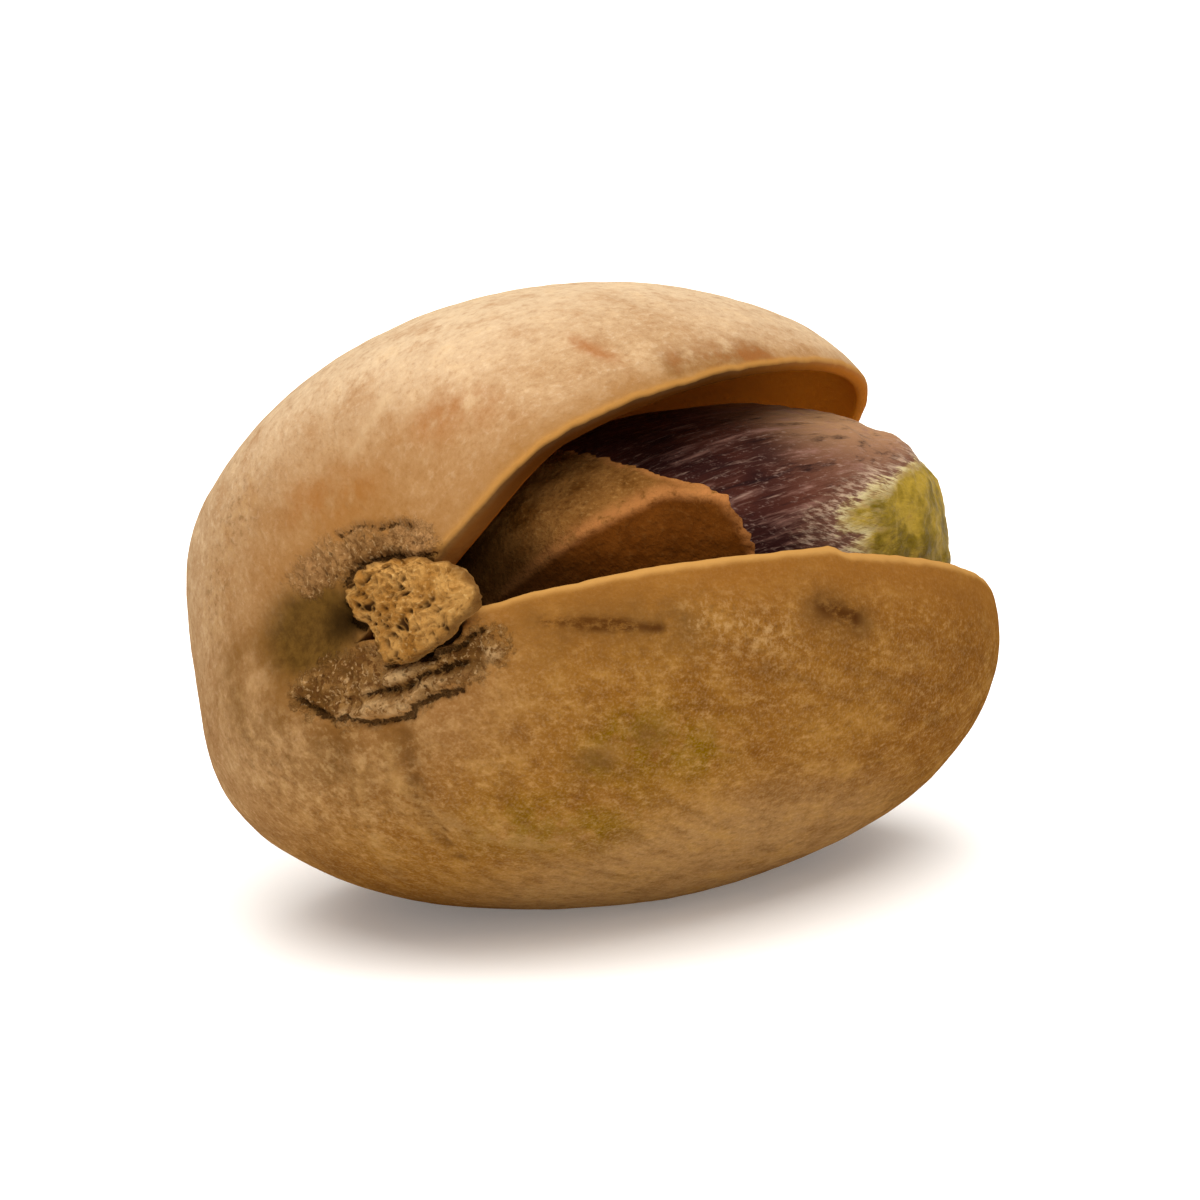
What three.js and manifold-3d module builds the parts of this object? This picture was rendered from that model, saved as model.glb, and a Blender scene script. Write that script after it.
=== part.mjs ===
// A split pistachio lying on its side: the hard shell with its gape, the kernel inside it, the loose
// papery skin over the kernel's stem half, and the corky plug in the stem scar. Millimetres, +Z up.
//
// Every formula below is in the nut's own frame: x runs from the stem end (-) to the tip (+), y from the
// near side (-) to the far side (+), and z stands square to the seam plane. The lower half of the shell
// is at -z. The upper half is at +z and is swung open about the stretch of seam that is still joined.

import * as THREE from 'three';
import { mergeVertices } from 'three/addons/utils/BufferGeometryUtils.js';
import Module from 'manifold-3d';

const DEGREE = Math.PI / 180;
const TURN = 2 * Math.PI;

// The closed shell, as an ovoid that is fuller at the stem end
const NUT_LENGTH = 21.0;
const NUT_WIDTH = 13.45;
const UPPER_HEIGHT = 5.85;
const LOWER_HEIGHT = 5.5;
const UPPER_TAPER = 0.245;
const LOWER_TAPER = 0.106;
const END_FULLNESS = 0.1;
const WALL = 0.9;
const STEM_WALL = 1.5;
const LIP_WALL = 0.6;
const LIP_THINNING = 35 * DEGREE;
const LIP_ROUNDING = 0.12;

// The gape: angles along the seam start at the stem end and pass the far side first
const GAPE = 19.3 * DEGREE;
const HINGE_SEAM = 38 * DEGREE;
const JOINED_HALF = 27 * DEGREE;
const JOINED_FADE = 62 * DEGREE;
const JOINED_REACH = 42.5 * DEGREE;
const HINGE_BULGE = 1.27;
const HINGE_BULGE_REACH = 55 * DEGREE;

// The stem scar and the plug in it: sizes square to the shell, along the seam and across it
const SCAR_SEAM = -16 * DEGREE;
const SCAR_HALF_SIZE = new THREE.Vector3(1.2, 2.6, 1.7);
const SCAR_COLLAR_RADIUS = 2.7;
const SCAR_COLLAR_WIDTH = 0.7;
const SCAR_COLLAR_HEIGHT = 0.3;
const PLUG_HALF_SIZE = new THREE.Vector3(0.75, 1.55, 1.1);
const PLUG_SINK = 0.2;
const PLUG_SHIFT = 0.75;
const PLUG_RIDGES = 7;
const PLUG_RIDGE_HEIGHT = 0.12;

// The kernel, as an ovoid tilted up into the gape and turned a little to the near side
const KERNEL_HALF_SIZE = new THREE.Vector3(8.7, 4.85, 4.3);
const KERNEL_CENTRE = new THREE.Vector3(1.15, -0.5, 1.5);
const KERNEL_TILT = 10.4 * DEGREE;
const KERNEL_YAW = 4.2 * DEGREE;
const KERNEL_TAPER = 0.1;
const KERNEL_FULLNESS = 0.08;
const KERNEL_GROOVES = 5;
const KERNEL_GROOVE_DEPTH = 0.08;

// The loose skin: angles round the kernel are measured from its top towards the near side, and places
// along it run from -1 at the stem end to +1 at the tip
const SKIN_THICKNESS = 0.6;
const SKIN_CLEARANCE = 0.2;
const SKIN_TOP_EDGE = 36 * DEGREE;
const SKIN_LOW_EDGE = 122 * DEGREE;
const SKIN_STEM_EDGE = -0.9;
const SKIN_TIP_EDGE_TOP = -0.52;
const SKIN_TIP_EDGE_LOW = -0.29;
const SKIN_EDGE_TURN = 95 * DEGREE;
const SKIN_RAGS = 7;
const SKIN_RAGGEDNESS = 0.025;
const SKIN_CREST_ROUND = 71 * DEGREE;
const SKIN_CREST_WIDTH = 36 * DEGREE;
const SKIN_CREST_HEIGHT = 0.7;
const SKIN_CREST_RISE = 0.5;

// The resting pose: rolled on to the far side, with the tip a little lower than the stem end
const LEAN = -31.8 * DEGREE;
const TIP_DROP = 8.6 * DEGREE;
const FLAT_DEPTH = 0.28;

// Mesh steps
const SEAM_STEPS = 60;
const WALL_STEPS = 9;
const INNER_STEPS = 6;
const LIP_STEPS = 2;
const MERGE_DISTANCE = 0.002;

const { smoothstep, lerp } = THREE.MathUtils;

const wasm = await Module();
wasm.setup();

// A closed geometry from triangles given as triples of points. Points that coincide become one, and
// triangles that have lost a side that way are dropped.
function closedGeometry(triangles) {
  const loose = new THREE.BufferGeometry();
  const numbers = triangles.flat().flatMap((point) => point.toArray());
  loose.setAttribute('position', new THREE.Float32BufferAttribute(numbers, 3));
  const merged = mergeVertices(loose, MERGE_DISTANCE);
  const index = Array.from(merged.index.array);
  const kept = [];
  for (let i = 0; i < index.length; i += 3) {
    const [a, b, c] = index.slice(i, i + 3);
    if (a !== b && b !== c && c !== a) {
      kept.push(a, b, c);
    }
  }
  merged.setIndex(kept);
  return merged;
}

// The triangles of a surface pointAt(column, row). A flipped surface faces the other way, and skip(column)
// leaves out the strip from that column to the next.
function surface(columns, rows, pointAt, flipped = false, skip = () => false) {
  const triangles = [];
  for (let i = 0; i < columns; i += 1) {
    if (skip(i)) {
      continue;
    }
    for (let j = 0; j < rows; j += 1) {
      const a = pointAt(i, j);
      const b = pointAt(i + 1, j);
      const c = pointAt(i + 1, j + 1);
      const d = pointAt(i, j + 1);
      const pair = flipped ? [[a, c, b], [a, d, c]] : [[a, b, c], [a, c, d]];
      triangles.push(...pair);
    }
  }
  return triangles;
}

function solidFrom(geometry) {
  const source = geometry.clone();
  source.deleteAttribute('normal');
  source.deleteAttribute('uv');
  const merged = mergeVertices(source);
  return new wasm.Manifold(new wasm.Mesh({
    numProp: 3,
    vertProperties: Float32Array.from(merged.attributes.position.array),
    triVerts: Uint32Array.from(merged.index.array),
  }));
}

function geometryFrom(solid) {
  const mesh = solid.getMesh();
  const geometry = new THREE.BufferGeometry();
  geometry.setAttribute('position', new THREE.BufferAttribute(mesh.vertProperties, 3));
  geometry.setIndex(new THREE.BufferAttribute(mesh.triVerts, 1));
  return geometry;
}

function namedMesh(name, geometry, color, roughness) {
  geometry.computeVertexNormals();
  const material = new THREE.MeshStandardMaterial({ color, roughness, metalness: 0 });
  const mesh = new THREE.Mesh(geometry, material);
  mesh.name = name;
  return mesh;
}

// 1 on the stretch of seam that is still joined, falling to 0 on either side of it.
function joinedAt(seam) {
  const away = Math.abs(THREE.MathUtils.euclideanModulo(seam - HINGE_SEAM + Math.PI, TURN) - Math.PI);
  return 1 - smoothstep(away, JOINED_HALF, JOINED_HALF + JOINED_FADE);
}

// A point of an ovoid in a given direction. The taper makes its stem end wider than its tip, and the
// fullness makes both ends blunter than an ellipsoid's.
function ovoidPoint(direction, halfSize, taper, fullness) {
  const stemward = -direction.x;
  const girth = Math.exp(taper * stemward + fullness * stemward ** 2);
  return new THREE.Vector3(
    halfSize.x * direction.x,
    halfSize.y * direction.y * girth,
    halfSize.z * direction.z * girth,
  );
}

function seamDirection(seam) {
  return new THREE.Vector3(-Math.cos(seam), Math.sin(seam), 0);
}

// The ovoid of one half of the shell at a given distance inside its outer face. The distance at the stem
// end is given too, because the shell is thicker there.
function valveHalfSize(side, inset, stemInset) {
  const height = side > 0 ? UPPER_HEIGHT : LOWER_HEIGHT;
  return new THREE.Vector3(NUT_LENGTH / 2 - (inset + stemInset) / 2, NUT_WIDTH / 2 - inset, height - inset);
}

function outerSeamPoint(seam) {
  return ovoidPoint(seamDirection(seam), valveHalfSize(-1, 0, 0), LOWER_TAPER, END_FULLNESS);
}

const HINGE_POINT = outerSeamPoint(HINGE_SEAM).addScaledVector(seamDirection(HINGE_SEAM), HINGE_BULGE);
const HINGE_AXIS = outerSeamPoint(HINGE_SEAM + DEGREE).sub(outerSeamPoint(HINGE_SEAM - DEGREE)).normalize();

// A point of the shell. seam is the angle along the seam, lift the angle from the seam (0) to the crown
// (90 degrees), side +1 for the upper half and -1 for the lower, and depth the place in the wall. The
// upper half is swung open by the gape, less and less towards the joined stretch of seam.
function shellPoint(seam, lift, side, depth) {
  const joined = joinedAt(seam);
  const free = 1 - joined * (1 - smoothstep(lift, 0, JOINED_REACH));
  const taper = side > 0 ? lerp(LOWER_TAPER, UPPER_TAPER, free) : LOWER_TAPER;
  const outward = seamDirection(seam);
  const direction = outward.clone().multiplyScalar(Math.cos(lift));
  direction.z = side * Math.sin(lift);
  const thinning = (1 - joined) * (1 - smoothstep(lift, 0, LIP_THINNING));
  const inset = depth * lerp(WALL, LIP_WALL, thinning);
  const stemInset = depth * STEM_WALL;
  const point = ovoidPoint(direction, valveHalfSize(side, inset, stemInset), taper, END_FULLNESS);
  point.x += (stemInset - inset) / 2;
  const bulge = HINGE_BULGE * joined * Math.cos(lift) * Math.exp(-((lift / HINGE_BULGE_REACH) ** 2));
  point.addScaledVector(outward, bulge);
  if (side > 0 && free > 0) {
    point.sub(HINGE_POINT).applyAxisAngle(HINGE_AXIS, -GAPE * free).add(HINGE_POINT);
  }
  return point;
}

const restTurn = new THREE.Quaternion().setFromEuler(new THREE.Euler(LEAN, TIP_DROP, 0, 'YXZ'));
const UP = new THREE.Vector3(0, 0, 1).applyQuaternion(restTurn.clone().invert());
const SCAR_POINT = shellPoint(SCAR_SEAM, 0, -1, 0).lerp(shellPoint(SCAR_SEAM, 0, 1, 0), 0.5);

// How low the lower half would reach without its flat spot.
function lowestReach() {
  let lowest = Infinity;
  for (let seam = 0; seam < TURN; seam += DEGREE) {
    for (let lift = 0; lift < Math.PI / 2; lift += DEGREE) {
      lowest = Math.min(lowest, UP.dot(shellPoint(seam, lift, -1, 0)));
    }
  }
  return lowest;
}

const FLAT_HEIGHT = lowestReach() + FLAT_DEPTH;

// The outer face: the shell's ovoid with the low collar round the stem scar and the flat spot under it.
function outerPoint(seam, lift, side) {
  const point = shellPoint(seam, lift, side, 0);
  const fromScar = point.distanceTo(SCAR_POINT);
  const collar = Math.exp(-(((fromScar - SCAR_COLLAR_RADIUS) / SCAR_COLLAR_WIDTH) ** 2));
  const outward = seamDirection(seam).multiplyScalar(Math.cos(lift));
  outward.z = side * Math.sin(lift);
  point.addScaledVector(outward, SCAR_COLLAR_HEIGHT * collar * (1 - joinedAt(seam)));
  const height = UP.dot(point);
  if (height < FLAT_HEIGHT) {
    point.addScaledVector(UP, FLAT_HEIGHT - height);
  }
  return point;
}

// One half of the shell: the outer face down from the crown, over the rounded lip and up the inner face.
function valveTriangles(side) {
  const seamAt = (column) => HINGE_SEAM + JOINED_HALF + TURN * ((column % SEAM_STEPS) / SEAM_STEPS);
  const joinedColumn = (column) => joinedAt(seamAt(column)) === 1;
  const outer = (i, j) => outerPoint(seamAt(i), (Math.PI / 2) * (j / WALL_STEPS), side);
  const inner = (i, j) => shellPoint(seamAt(i), (Math.PI / 2) * (j / INNER_STEPS), side, 1);
  const lip = (i, j) => {
    if (j === 0) {
      return outer(i, 0);
    }
    const point = shellPoint(seamAt(i), 0, side, j / LIP_STEPS);
    const round = LIP_ROUNDING * (1 - joinedAt(seamAt(i))) * Math.sin(Math.PI * (j / LIP_STEPS));
    point.z -= side * round;
    return point;
  };
  const lipSkipped = (i) => joinedColumn(i) && joinedColumn(i + 1);
  return [
    ...surface(SEAM_STEPS, WALL_STEPS, outer, side > 0),
    ...surface(SEAM_STEPS, INNER_STEPS, inner, side < 0),
    ...surface(SEAM_STEPS, LIP_STEPS, lip, side < 0, lipSkipped),
  ];
}

function scarSocket() {
  const socket = new THREE.SphereGeometry(1, 24, 16);
  socket.scale(SCAR_HALF_SIZE.x, SCAR_HALF_SIZE.y, SCAR_HALF_SIZE.z);
  socket.rotateZ(-SCAR_SEAM);
  socket.translate(SCAR_POINT.x, SCAR_POINT.y, SCAR_POINT.z);
  return socket;
}

function shellGeometry() {
  const whole = closedGeometry([...valveTriangles(1), ...valveTriangles(-1)]);
  return geometryFrom(solidFrom(whole).subtract(solidFrom(scarSocket())));
}

// The plug: an ovoid that sits in the scar with room round it, ridged along its fibres.
function plugGeometry() {
  const columns = 28;
  const rows = 10;
  const half = PLUG_HALF_SIZE;
  const plugPoint = (i, j) => {
    const round = TURN * ((i % columns) / columns);
    const fall = Math.PI * (j / rows);
    const ridge = 1 + (PLUG_RIDGE_HEIGHT / half.z) * Math.sin(PLUG_RIDGES * round) * Math.sin(fall);
    return new THREE.Vector3(
      half.x * Math.cos(fall),
      half.y * Math.sin(fall) * Math.cos(round) * ridge,
      half.z * Math.sin(fall) * Math.sin(round) * ridge,
    );
  };
  return closedGeometry(surface(columns, rows, plugPoint, true));
}

// A point of the kernel, or of a layer that lies a given distance outside it. round is the angle from
// the top towards the near side, and along runs from the stem end (-1) to the tip (+1).
function kernelPoint(round, along, offset) {
  const radius = Math.sqrt(Math.max(0, 1 - along ** 2));
  const direction = new THREE.Vector3(along, -radius * Math.sin(round), radius * Math.cos(round));
  const groove = KERNEL_GROOVE_DEPTH * radius * Math.cos(KERNEL_GROOVES * round);
  const half = KERNEL_HALF_SIZE.clone().addScalar(offset + (offset > 0 ? 0 : groove));
  return ovoidPoint(direction, half, KERNEL_TAPER, KERNEL_FULLNESS);
}

function kernelGeometry() {
  const columns = 30;
  const rows = 20;
  const pointAt = (i, j) => kernelPoint(TURN * ((i % columns) / columns), -Math.cos(Math.PI * (j / rows)), 0);
  return closedGeometry(surface(columns, rows, pointAt));
}

// The loose skin: a sheet over the near side of the kernel's stem half, from the stem end to a ragged
// edge, folded along a crest that stands off the kernel.
function skinGeometry() {
  const columns = 20;
  const rows = 8;
  const skinPoint = (i, j, lift) => {
    const round = lerp(SKIN_TOP_EDGE, SKIN_LOW_EDGE, i / columns);
    const across = smoothstep(round, SKIN_TOP_EDGE, SKIN_EDGE_TURN);
    const rags = SKIN_RAGGEDNESS * Math.sin(SKIN_RAGS * round) * Math.cos(2 * SKIN_RAGS * round);
    const tipEdge = lerp(SKIN_TIP_EDGE_TOP, SKIN_TIP_EDGE_LOW, across) + rags;
    const along = lerp(SKIN_STEM_EDGE, tipEdge, j / rows);
    const fold = Math.max(0, 1 - Math.abs(round - SKIN_CREST_ROUND) / SKIN_CREST_WIDTH);
    const crest = SKIN_CREST_HEIGHT * fold * smoothstep(j / rows, 0, SKIN_CREST_RISE);
    return kernelPoint(round, along, SKIN_CLEARANCE + crest + lift);
  };
  const outside = (i, j) => skinPoint(i, j, SKIN_THICKNESS);
  const inside = (i, j) => skinPoint(i, j, 0);
  const stemEdge = (i, j) => (j ? outside(i, 0) : inside(i, 0));
  const tipEdge = (i, j) => (j ? outside(i, rows) : inside(i, rows));
  const topEdge = (i, j) => (j ? outside(0, i) : inside(0, i));
  const lowEdge = (i, j) => (j ? outside(columns, i) : inside(columns, i));
  return closedGeometry([
    ...surface(columns, rows, outside, false),
    ...surface(columns, rows, inside, true),
    ...surface(columns, 1, stemEdge, false),
    ...surface(columns, 1, tipEdge, true),
    ...surface(rows, 1, topEdge, true),
    ...surface(rows, 1, lowEdge, false),
  ]);
}

const shell = namedMesh('shell', shellGeometry(), 0xc69563, 0.55);

const plug = namedMesh('stem_plug', plugGeometry(), 0xa57437, 0.85);
plug.rotation.z = -SCAR_SEAM;
plug.position.set(PLUG_SINK, -PLUG_SHIFT, 0).applyEuler(plug.rotation).add(SCAR_POINT);

const seed = new THREE.Group();
seed.position.copy(KERNEL_CENTRE);
seed.rotation.set(0, -KERNEL_TILT, -KERNEL_YAW, 'ZYX');
seed.add(namedMesh('kernel', kernelGeometry(), 0x5a342c, 0.6));
seed.add(namedMesh('seed_skin', skinGeometry(), 0x6b3e13, 0.7));

const nut = new THREE.Group();
nut.quaternion.copy(restTurn);
nut.add(shell, plug, seed);

// The origin lies on the surface, under the middle of the nut's box.
const box = new THREE.Box3().setFromObject(nut, true);
const middle = box.getCenter(new THREE.Vector3());
nut.position.set(-middle.x, -middle.y, -box.min.z);

const pistachio = new THREE.Group();
pistachio.add(nut);

export default pistachio;
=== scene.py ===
# %% [markdown]
# # A split pistachio
#
# This lesson dresses a pistachio in its shell. The frame gives four plain solids: the shell, the kernel,
# the loose skin and the corky plug of the stem scar. Each is replaced by a finer surface of the same form,
# with the scar's crusts and cracks, the kernel's wrinkles and the skin's torn edge on it. The frame has to
# be loaded first, because every piece rides on its body.

import bpy
import numpy as np
from mathutils import Matrix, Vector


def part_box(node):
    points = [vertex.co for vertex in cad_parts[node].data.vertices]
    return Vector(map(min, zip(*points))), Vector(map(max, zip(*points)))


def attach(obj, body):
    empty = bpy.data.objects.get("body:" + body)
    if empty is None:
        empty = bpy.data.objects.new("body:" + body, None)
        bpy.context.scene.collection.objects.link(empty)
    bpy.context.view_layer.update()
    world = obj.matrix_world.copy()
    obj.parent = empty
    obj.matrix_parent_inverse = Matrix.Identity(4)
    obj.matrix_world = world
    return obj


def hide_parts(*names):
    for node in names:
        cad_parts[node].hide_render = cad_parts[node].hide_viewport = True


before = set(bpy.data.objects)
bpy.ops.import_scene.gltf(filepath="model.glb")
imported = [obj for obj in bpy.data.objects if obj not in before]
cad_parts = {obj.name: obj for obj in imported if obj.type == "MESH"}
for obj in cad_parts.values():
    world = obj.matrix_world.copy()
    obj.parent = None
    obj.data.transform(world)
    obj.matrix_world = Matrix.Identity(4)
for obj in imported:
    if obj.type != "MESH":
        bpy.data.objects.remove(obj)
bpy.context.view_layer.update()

print("frame nodes:", sorted(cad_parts))

# %% [markdown]
# ## Helpers for whole arrays
#
# A surface here is a function of two parameters, worked out for a whole grid at once. A few small helpers
# are used by every piece: a soft step, a blend, and a turn about an axis. Sculpting by hand could give
# these shapes too, but a formula can be read, changed and run again with the same result.

# %% Soft step, blend and turn
MM = 0.001
DEGREE = np.pi / 180


def soft_step(value, low, high):
    """0 below low and 1 above high, with the curve 3t^2 - 2t^3 between them."""
    t = np.clip((value - low) / (high - low), 0.0, 1.0)
    return t * t * (3.0 - 2.0 * t)


def blend(first, second, share):
    """The first value at share 0, the second at share 1, and a straight mix between them."""
    return first + (second - first) * share


def turned(points, axis, angle):
    """Points turned about an axis through the origin: the part along the axis stays, and the part across
    it is mixed, by the angle's cosine and sine, with its own cross product. The angle may differ by point."""
    angle = np.asarray(angle)[..., None]
    along = (points @ axis)[..., None] * axis
    return along + (points - along) * np.cos(angle) + np.cross(axis, points) * np.sin(angle)


def unit(vector):
    """The vector's direction, with a length of 1."""
    return vector / np.linalg.norm(vector)


X_AXIS, Y_AXIS, Z_AXIS = np.eye(3)
print("a step half way up:", float(soft_step(0.5, 0.0, 1.0)))

# %% [markdown]
# ## Natural roughness
#
# Nothing that grew is quite smooth. Crust, wrinkles and torn edges all start from one lattice noise: a
# random slope at each corner of a lattice of cubes, blended inside each cube. A texture could give it to
# the shader alone, but worked out here it moves the real surface, so it shows in the outline as well.

# %% Lattice noise
CORNER_PRIMES = np.array([73856093, 19349663, 83492791])
SEED_PRIME = 49979687
SCRAMBLE = (1274126177, 668265263)
SCRAMBLE_SHIFT = 13
LAST_SHIFT = 15
LOW_BITS = 0x7FFFFFFF
SLOPE_GAIN = 1.4
LAYER_SEED_STEP = 7


def corner_random(corner, seed):
    """A repeatable number from -1 to 1 for each lattice corner: the corner's three whole numbers times
    large primes, added up and scrambled twice."""
    mixed = (corner @ CORNER_PRIMES + seed * SEED_PRIME) & LOW_BITS
    for factor in SCRAMBLE:
        mixed = ((mixed ^ (mixed >> SCRAMBLE_SHIFT)) * factor) & LOW_BITS
    return (mixed ^ (mixed >> LAST_SHIFT)) / (LOW_BITS / 2) - 1.0


def noise(points, size, seed):
    """Smooth relief from about -1 to 1 with lumps of the given size: at each corner of the point's cube a
    random slope times the way to the point, blended with the curve 6t^5 - 15t^4 + 10t^3."""
    scaled = points / np.asarray(size)
    cell = np.floor(scaled).astype(np.int64)
    inside = scaled - cell
    ease = inside**3 * (inside * (inside * 6 - 15) + 10)
    total = np.zeros(points.shape[:-1])
    for corner in np.ndindex(2, 2, 2):
        weight = np.prod(np.where(corner, ease, 1 - ease), axis=-1)
        slope = np.stack([corner_random(cell + corner, seed + turn) for turn in range(3)], axis=-1)
        total += weight * np.sum(slope * (inside - corner), axis=-1)
    return SLOPE_GAIN * total


def layered_noise(points, size, seed, layers=3):
    """Noise of one size, plus half as much at half the size, and so on for each layer."""
    size = np.asarray(size, float)
    return sum(noise(points, size / 2**k, seed + LAYER_SEED_STEP * k) / 2**k for k in range(layers))


def relief(points, parts):
    """A sum of layered noises, each given by its height, its size, its seed and its number of layers."""
    return sum(height * layered_noise(points, size, seed, layers) for height, size, seed, layers in parts)


sample = layered_noise(np.random.default_rng(1).uniform(-9, 9, (2000, 3)), 1.0, seed=3)
print("noise runs from", round(sample.min(), 2), "to", round(sample.max(), 2))

# %% [markdown]
# ## The nut's own frame and its resting pose
#
# The formulas are easiest in the nut's own frame, in millimetres: x runs from the stem end to the tip, y
# from the near side to the far side, and z stands square to the seam. The lower half of the shell is at
# -z. The nut lies rolled on to its far side, so every finished point is turned into that pose at the end.

# %% Resting pose
LEAN = -31.8 * DEGREE
TIP_DROP = 8.6 * DEGREE
FLAT_DEPTH = 0.28


def rested(points):
    """The nut's own frame turned to the resting pose: a lean about x, then a drop of the tip about y."""
    return turned(turned(points, X_AXIS, LEAN), Y_AXIS, TIP_DROP)


NUT_UP = turned(turned(Z_AXIS, Y_AXIS, -TIP_DROP), X_AXIS, -LEAN)
print("up, in the nut's frame:", NUT_UP.round(3))

# %% [markdown]
# ## The shell's formula
#
# The closed shell is an ovoid, fuller at the stem end. It has split along its seam, and the upper half has
# swung open about the stretch at the back of the stem end that is still joined. Two bent bowls would do
# from one side, but here one function gives any point of either half, on either face of the wall, so the
# halves meet exactly where they are joined.

# %% Shell dimensions
NUT_LENGTH = 21.0
NUT_WIDTH = 13.45
UPPER_HEIGHT = 5.85
LOWER_HEIGHT = 5.5
UPPER_TAPER = 0.245
LOWER_TAPER = 0.106
END_FULLNESS = 0.1
WALL = 0.9
STEM_WALL = 1.5
LIP_WALL = 0.45
LIP_THINNING = 35 * DEGREE

GAPE = 19.3 * DEGREE
HINGE_SEAM = 38 * DEGREE
JOINED_HALF = 27 * DEGREE
JOINED_FADE = 62 * DEGREE
JOINED_REACH = 42.5 * DEGREE
HINGE_BULGE = 1.27
HINGE_BULGE_REACH = 55 * DEGREE
print("closed shell, mm:", NUT_LENGTH, "long,", NUT_WIDTH, "wide,", UPPER_HEIGHT + LOWER_HEIGHT, "high")

# %% Shell points
def ovoid(direction, half_size, taper, fullness):
    """Half sizes times the direction, with the girth multiplied by e^(taper s + fullness s^2), where s
    runs from -1 at the tip to 1 at the stem end."""
    stemward = -direction[..., 0]
    girth = np.exp(taper * stemward + fullness * stemward**2)
    return half_size * direction * np.stack([np.ones_like(girth), girth, girth], axis=-1)


def seam_direction(seam):
    """The way out from the nut's middle at an angle along the seam, from the stem end by the far side."""
    return np.stack([-np.cos(seam), np.sin(seam), np.zeros_like(seam)], axis=-1)


def shell_direction(seam, lift, side):
    """The way out at a lift above the seam, on either side of it."""
    direction = seam_direction(seam) * np.cos(lift)[..., None]
    direction[..., 2] = side * np.sin(lift)
    return direction


def joined_at(seam):
    """1 on the joined stretch of seam, falling softly to 0 on either side of it."""
    away = np.abs((seam - HINGE_SEAM + np.pi) % (2 * np.pi) - np.pi)
    return 1 - soft_step(away, JOINED_HALF, JOINED_HALF + JOINED_FADE)


def rim_point(seam):
    """The closed shell's outer seam."""
    half = np.array([NUT_LENGTH / 2, NUT_WIDTH / 2, LOWER_HEIGHT])
    return ovoid(seam_direction(np.asarray(seam)), half, LOWER_TAPER, END_FULLNESS)


HINGE_POINT = rim_point(HINGE_SEAM) + HINGE_BULGE * seam_direction(np.asarray(HINGE_SEAM))
HINGE_AXIS = unit(rim_point(HINGE_SEAM + DEGREE) - rim_point(HINGE_SEAM - DEGREE))


def shell_points(seam, lift, side, depth):
    """Points of one half of the shell, before and after it swings open. lift runs from 0 at the seam to 90
    degrees at the crown, side is 1 or -1, and depth is 0 on the outer face and 1 on the inner. The ovoid
    shrinks by the wall's thickness with depth, bulges at the joined stretch, and the upper half then turns
    about the hinge, less and less towards that stretch."""
    seam, lift, depth = np.broadcast_arrays(seam, lift, depth)
    joined = joined_at(seam)
    free = 1 - joined * (1 - soft_step(lift, 0, JOINED_REACH))
    taper = blend(LOWER_TAPER, UPPER_TAPER, free) if side > 0 else LOWER_TAPER
    thinning = (1 - joined) * (1 - soft_step(lift, 0, LIP_THINNING))
    inset = depth * blend(WALL, LIP_WALL, thinning)
    stem_inset = depth * STEM_WALL
    height = UPPER_HEIGHT if side > 0 else LOWER_HEIGHT
    lengths = NUT_LENGTH / 2 - (inset + stem_inset) / 2
    half_size = np.stack([lengths, NUT_WIDTH / 2 - inset, height - inset], axis=-1)
    closed = ovoid(shell_direction(seam, lift, side), half_size, taper, END_FULLNESS)
    closed[..., 0] += (stem_inset - inset) / 2
    bulge = HINGE_BULGE * joined * np.cos(lift) * np.exp(-((lift / HINGE_BULGE_REACH) ** 2))
    closed = closed + seam_direction(seam) * bulge[..., None]
    if side < 0:
        return closed, closed
    swung = HINGE_POINT + turned(closed - HINGE_POINT, HINGE_AXIS, -GAPE * free)
    return closed, np.where((free > 0)[..., None], swung, closed)


coarse_seam = np.arange(0, 360, 1)[None, :] * DEGREE
coarse_lift = np.arange(0, 90, 1)[:, None] * DEGREE
lower_face = shell_points(coarse_seam, coarse_lift, -1, 0.0)[1]
upper_face = shell_points(coarse_seam, coarse_lift, 1, 0.0)[1]
FLAT_HEIGHT = (lower_face @ NUT_UP).min() + FLAT_DEPTH
print("gape at the tip, mm:", round(np.linalg.norm(upper_face[0, 180] - lower_face[0, 180]), 2))

# %% [markdown]
# ## From the nut's frame to the scene
#
# The flat spot under the lower half lies on the floor, and the shell's box is centred where the frame's
# shell is. Measuring the frame keeps the fine pieces exactly where their plain solids are.

# %% Place in the scene
frame_low, frame_high = (np.array(corner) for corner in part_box("shell"))
faces = rested(np.concatenate([lower_face, upper_face]).reshape(-1, 3))
PLACE = (frame_low + frame_high) / 2 - MM * (faces.min(0) + faces.max(0)) / 2
PLACE[2] = -MM * FLAT_HEIGHT


def to_scene(points):
    """Millimetres in the nut's frame to metres in the scene."""
    return MM * rested(points) + PLACE


print("nut's middle in the scene, mm:", (to_scene(np.zeros(3)) / MM).round(2))

# %% [markdown]
# ## The camera
#
# The nut is seen from close by, a little above the table. The camera could be aimed by eye, but its angles
# are given in the nut's own frame, round the seam plane, so they tell how the nut shows itself. A long lens
# keeps the shape true.

# %% Camera
VIEW_AZIMUTH = -47.98 * DEGREE
VIEW_ELEVATION = -13.97 * DEGREE
VIEW_ROLL = 17.34 * DEGREE
VIEW_DISTANCE = 350.0
VIEW_WIDTH = 28.5
VIEW_AIM = (-0.95, 1.5)
VIEW_CLIP = (0.01, 20.0)
SENSOR = 36.0


def add_object(name, data):
    """A new object in the scene that holds the data."""
    made = bpy.data.objects.new(name, data)
    bpy.context.scene.collection.objects.link(made)
    return made


def facing(right, up, back, place):
    """The matrix of an object at a place, with its own x, y and z along three directions."""
    matrix = np.eye(4)
    matrix[:3] = np.stack([right, up, back, place], axis=1)
    return Matrix(matrix.tolist())


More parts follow.
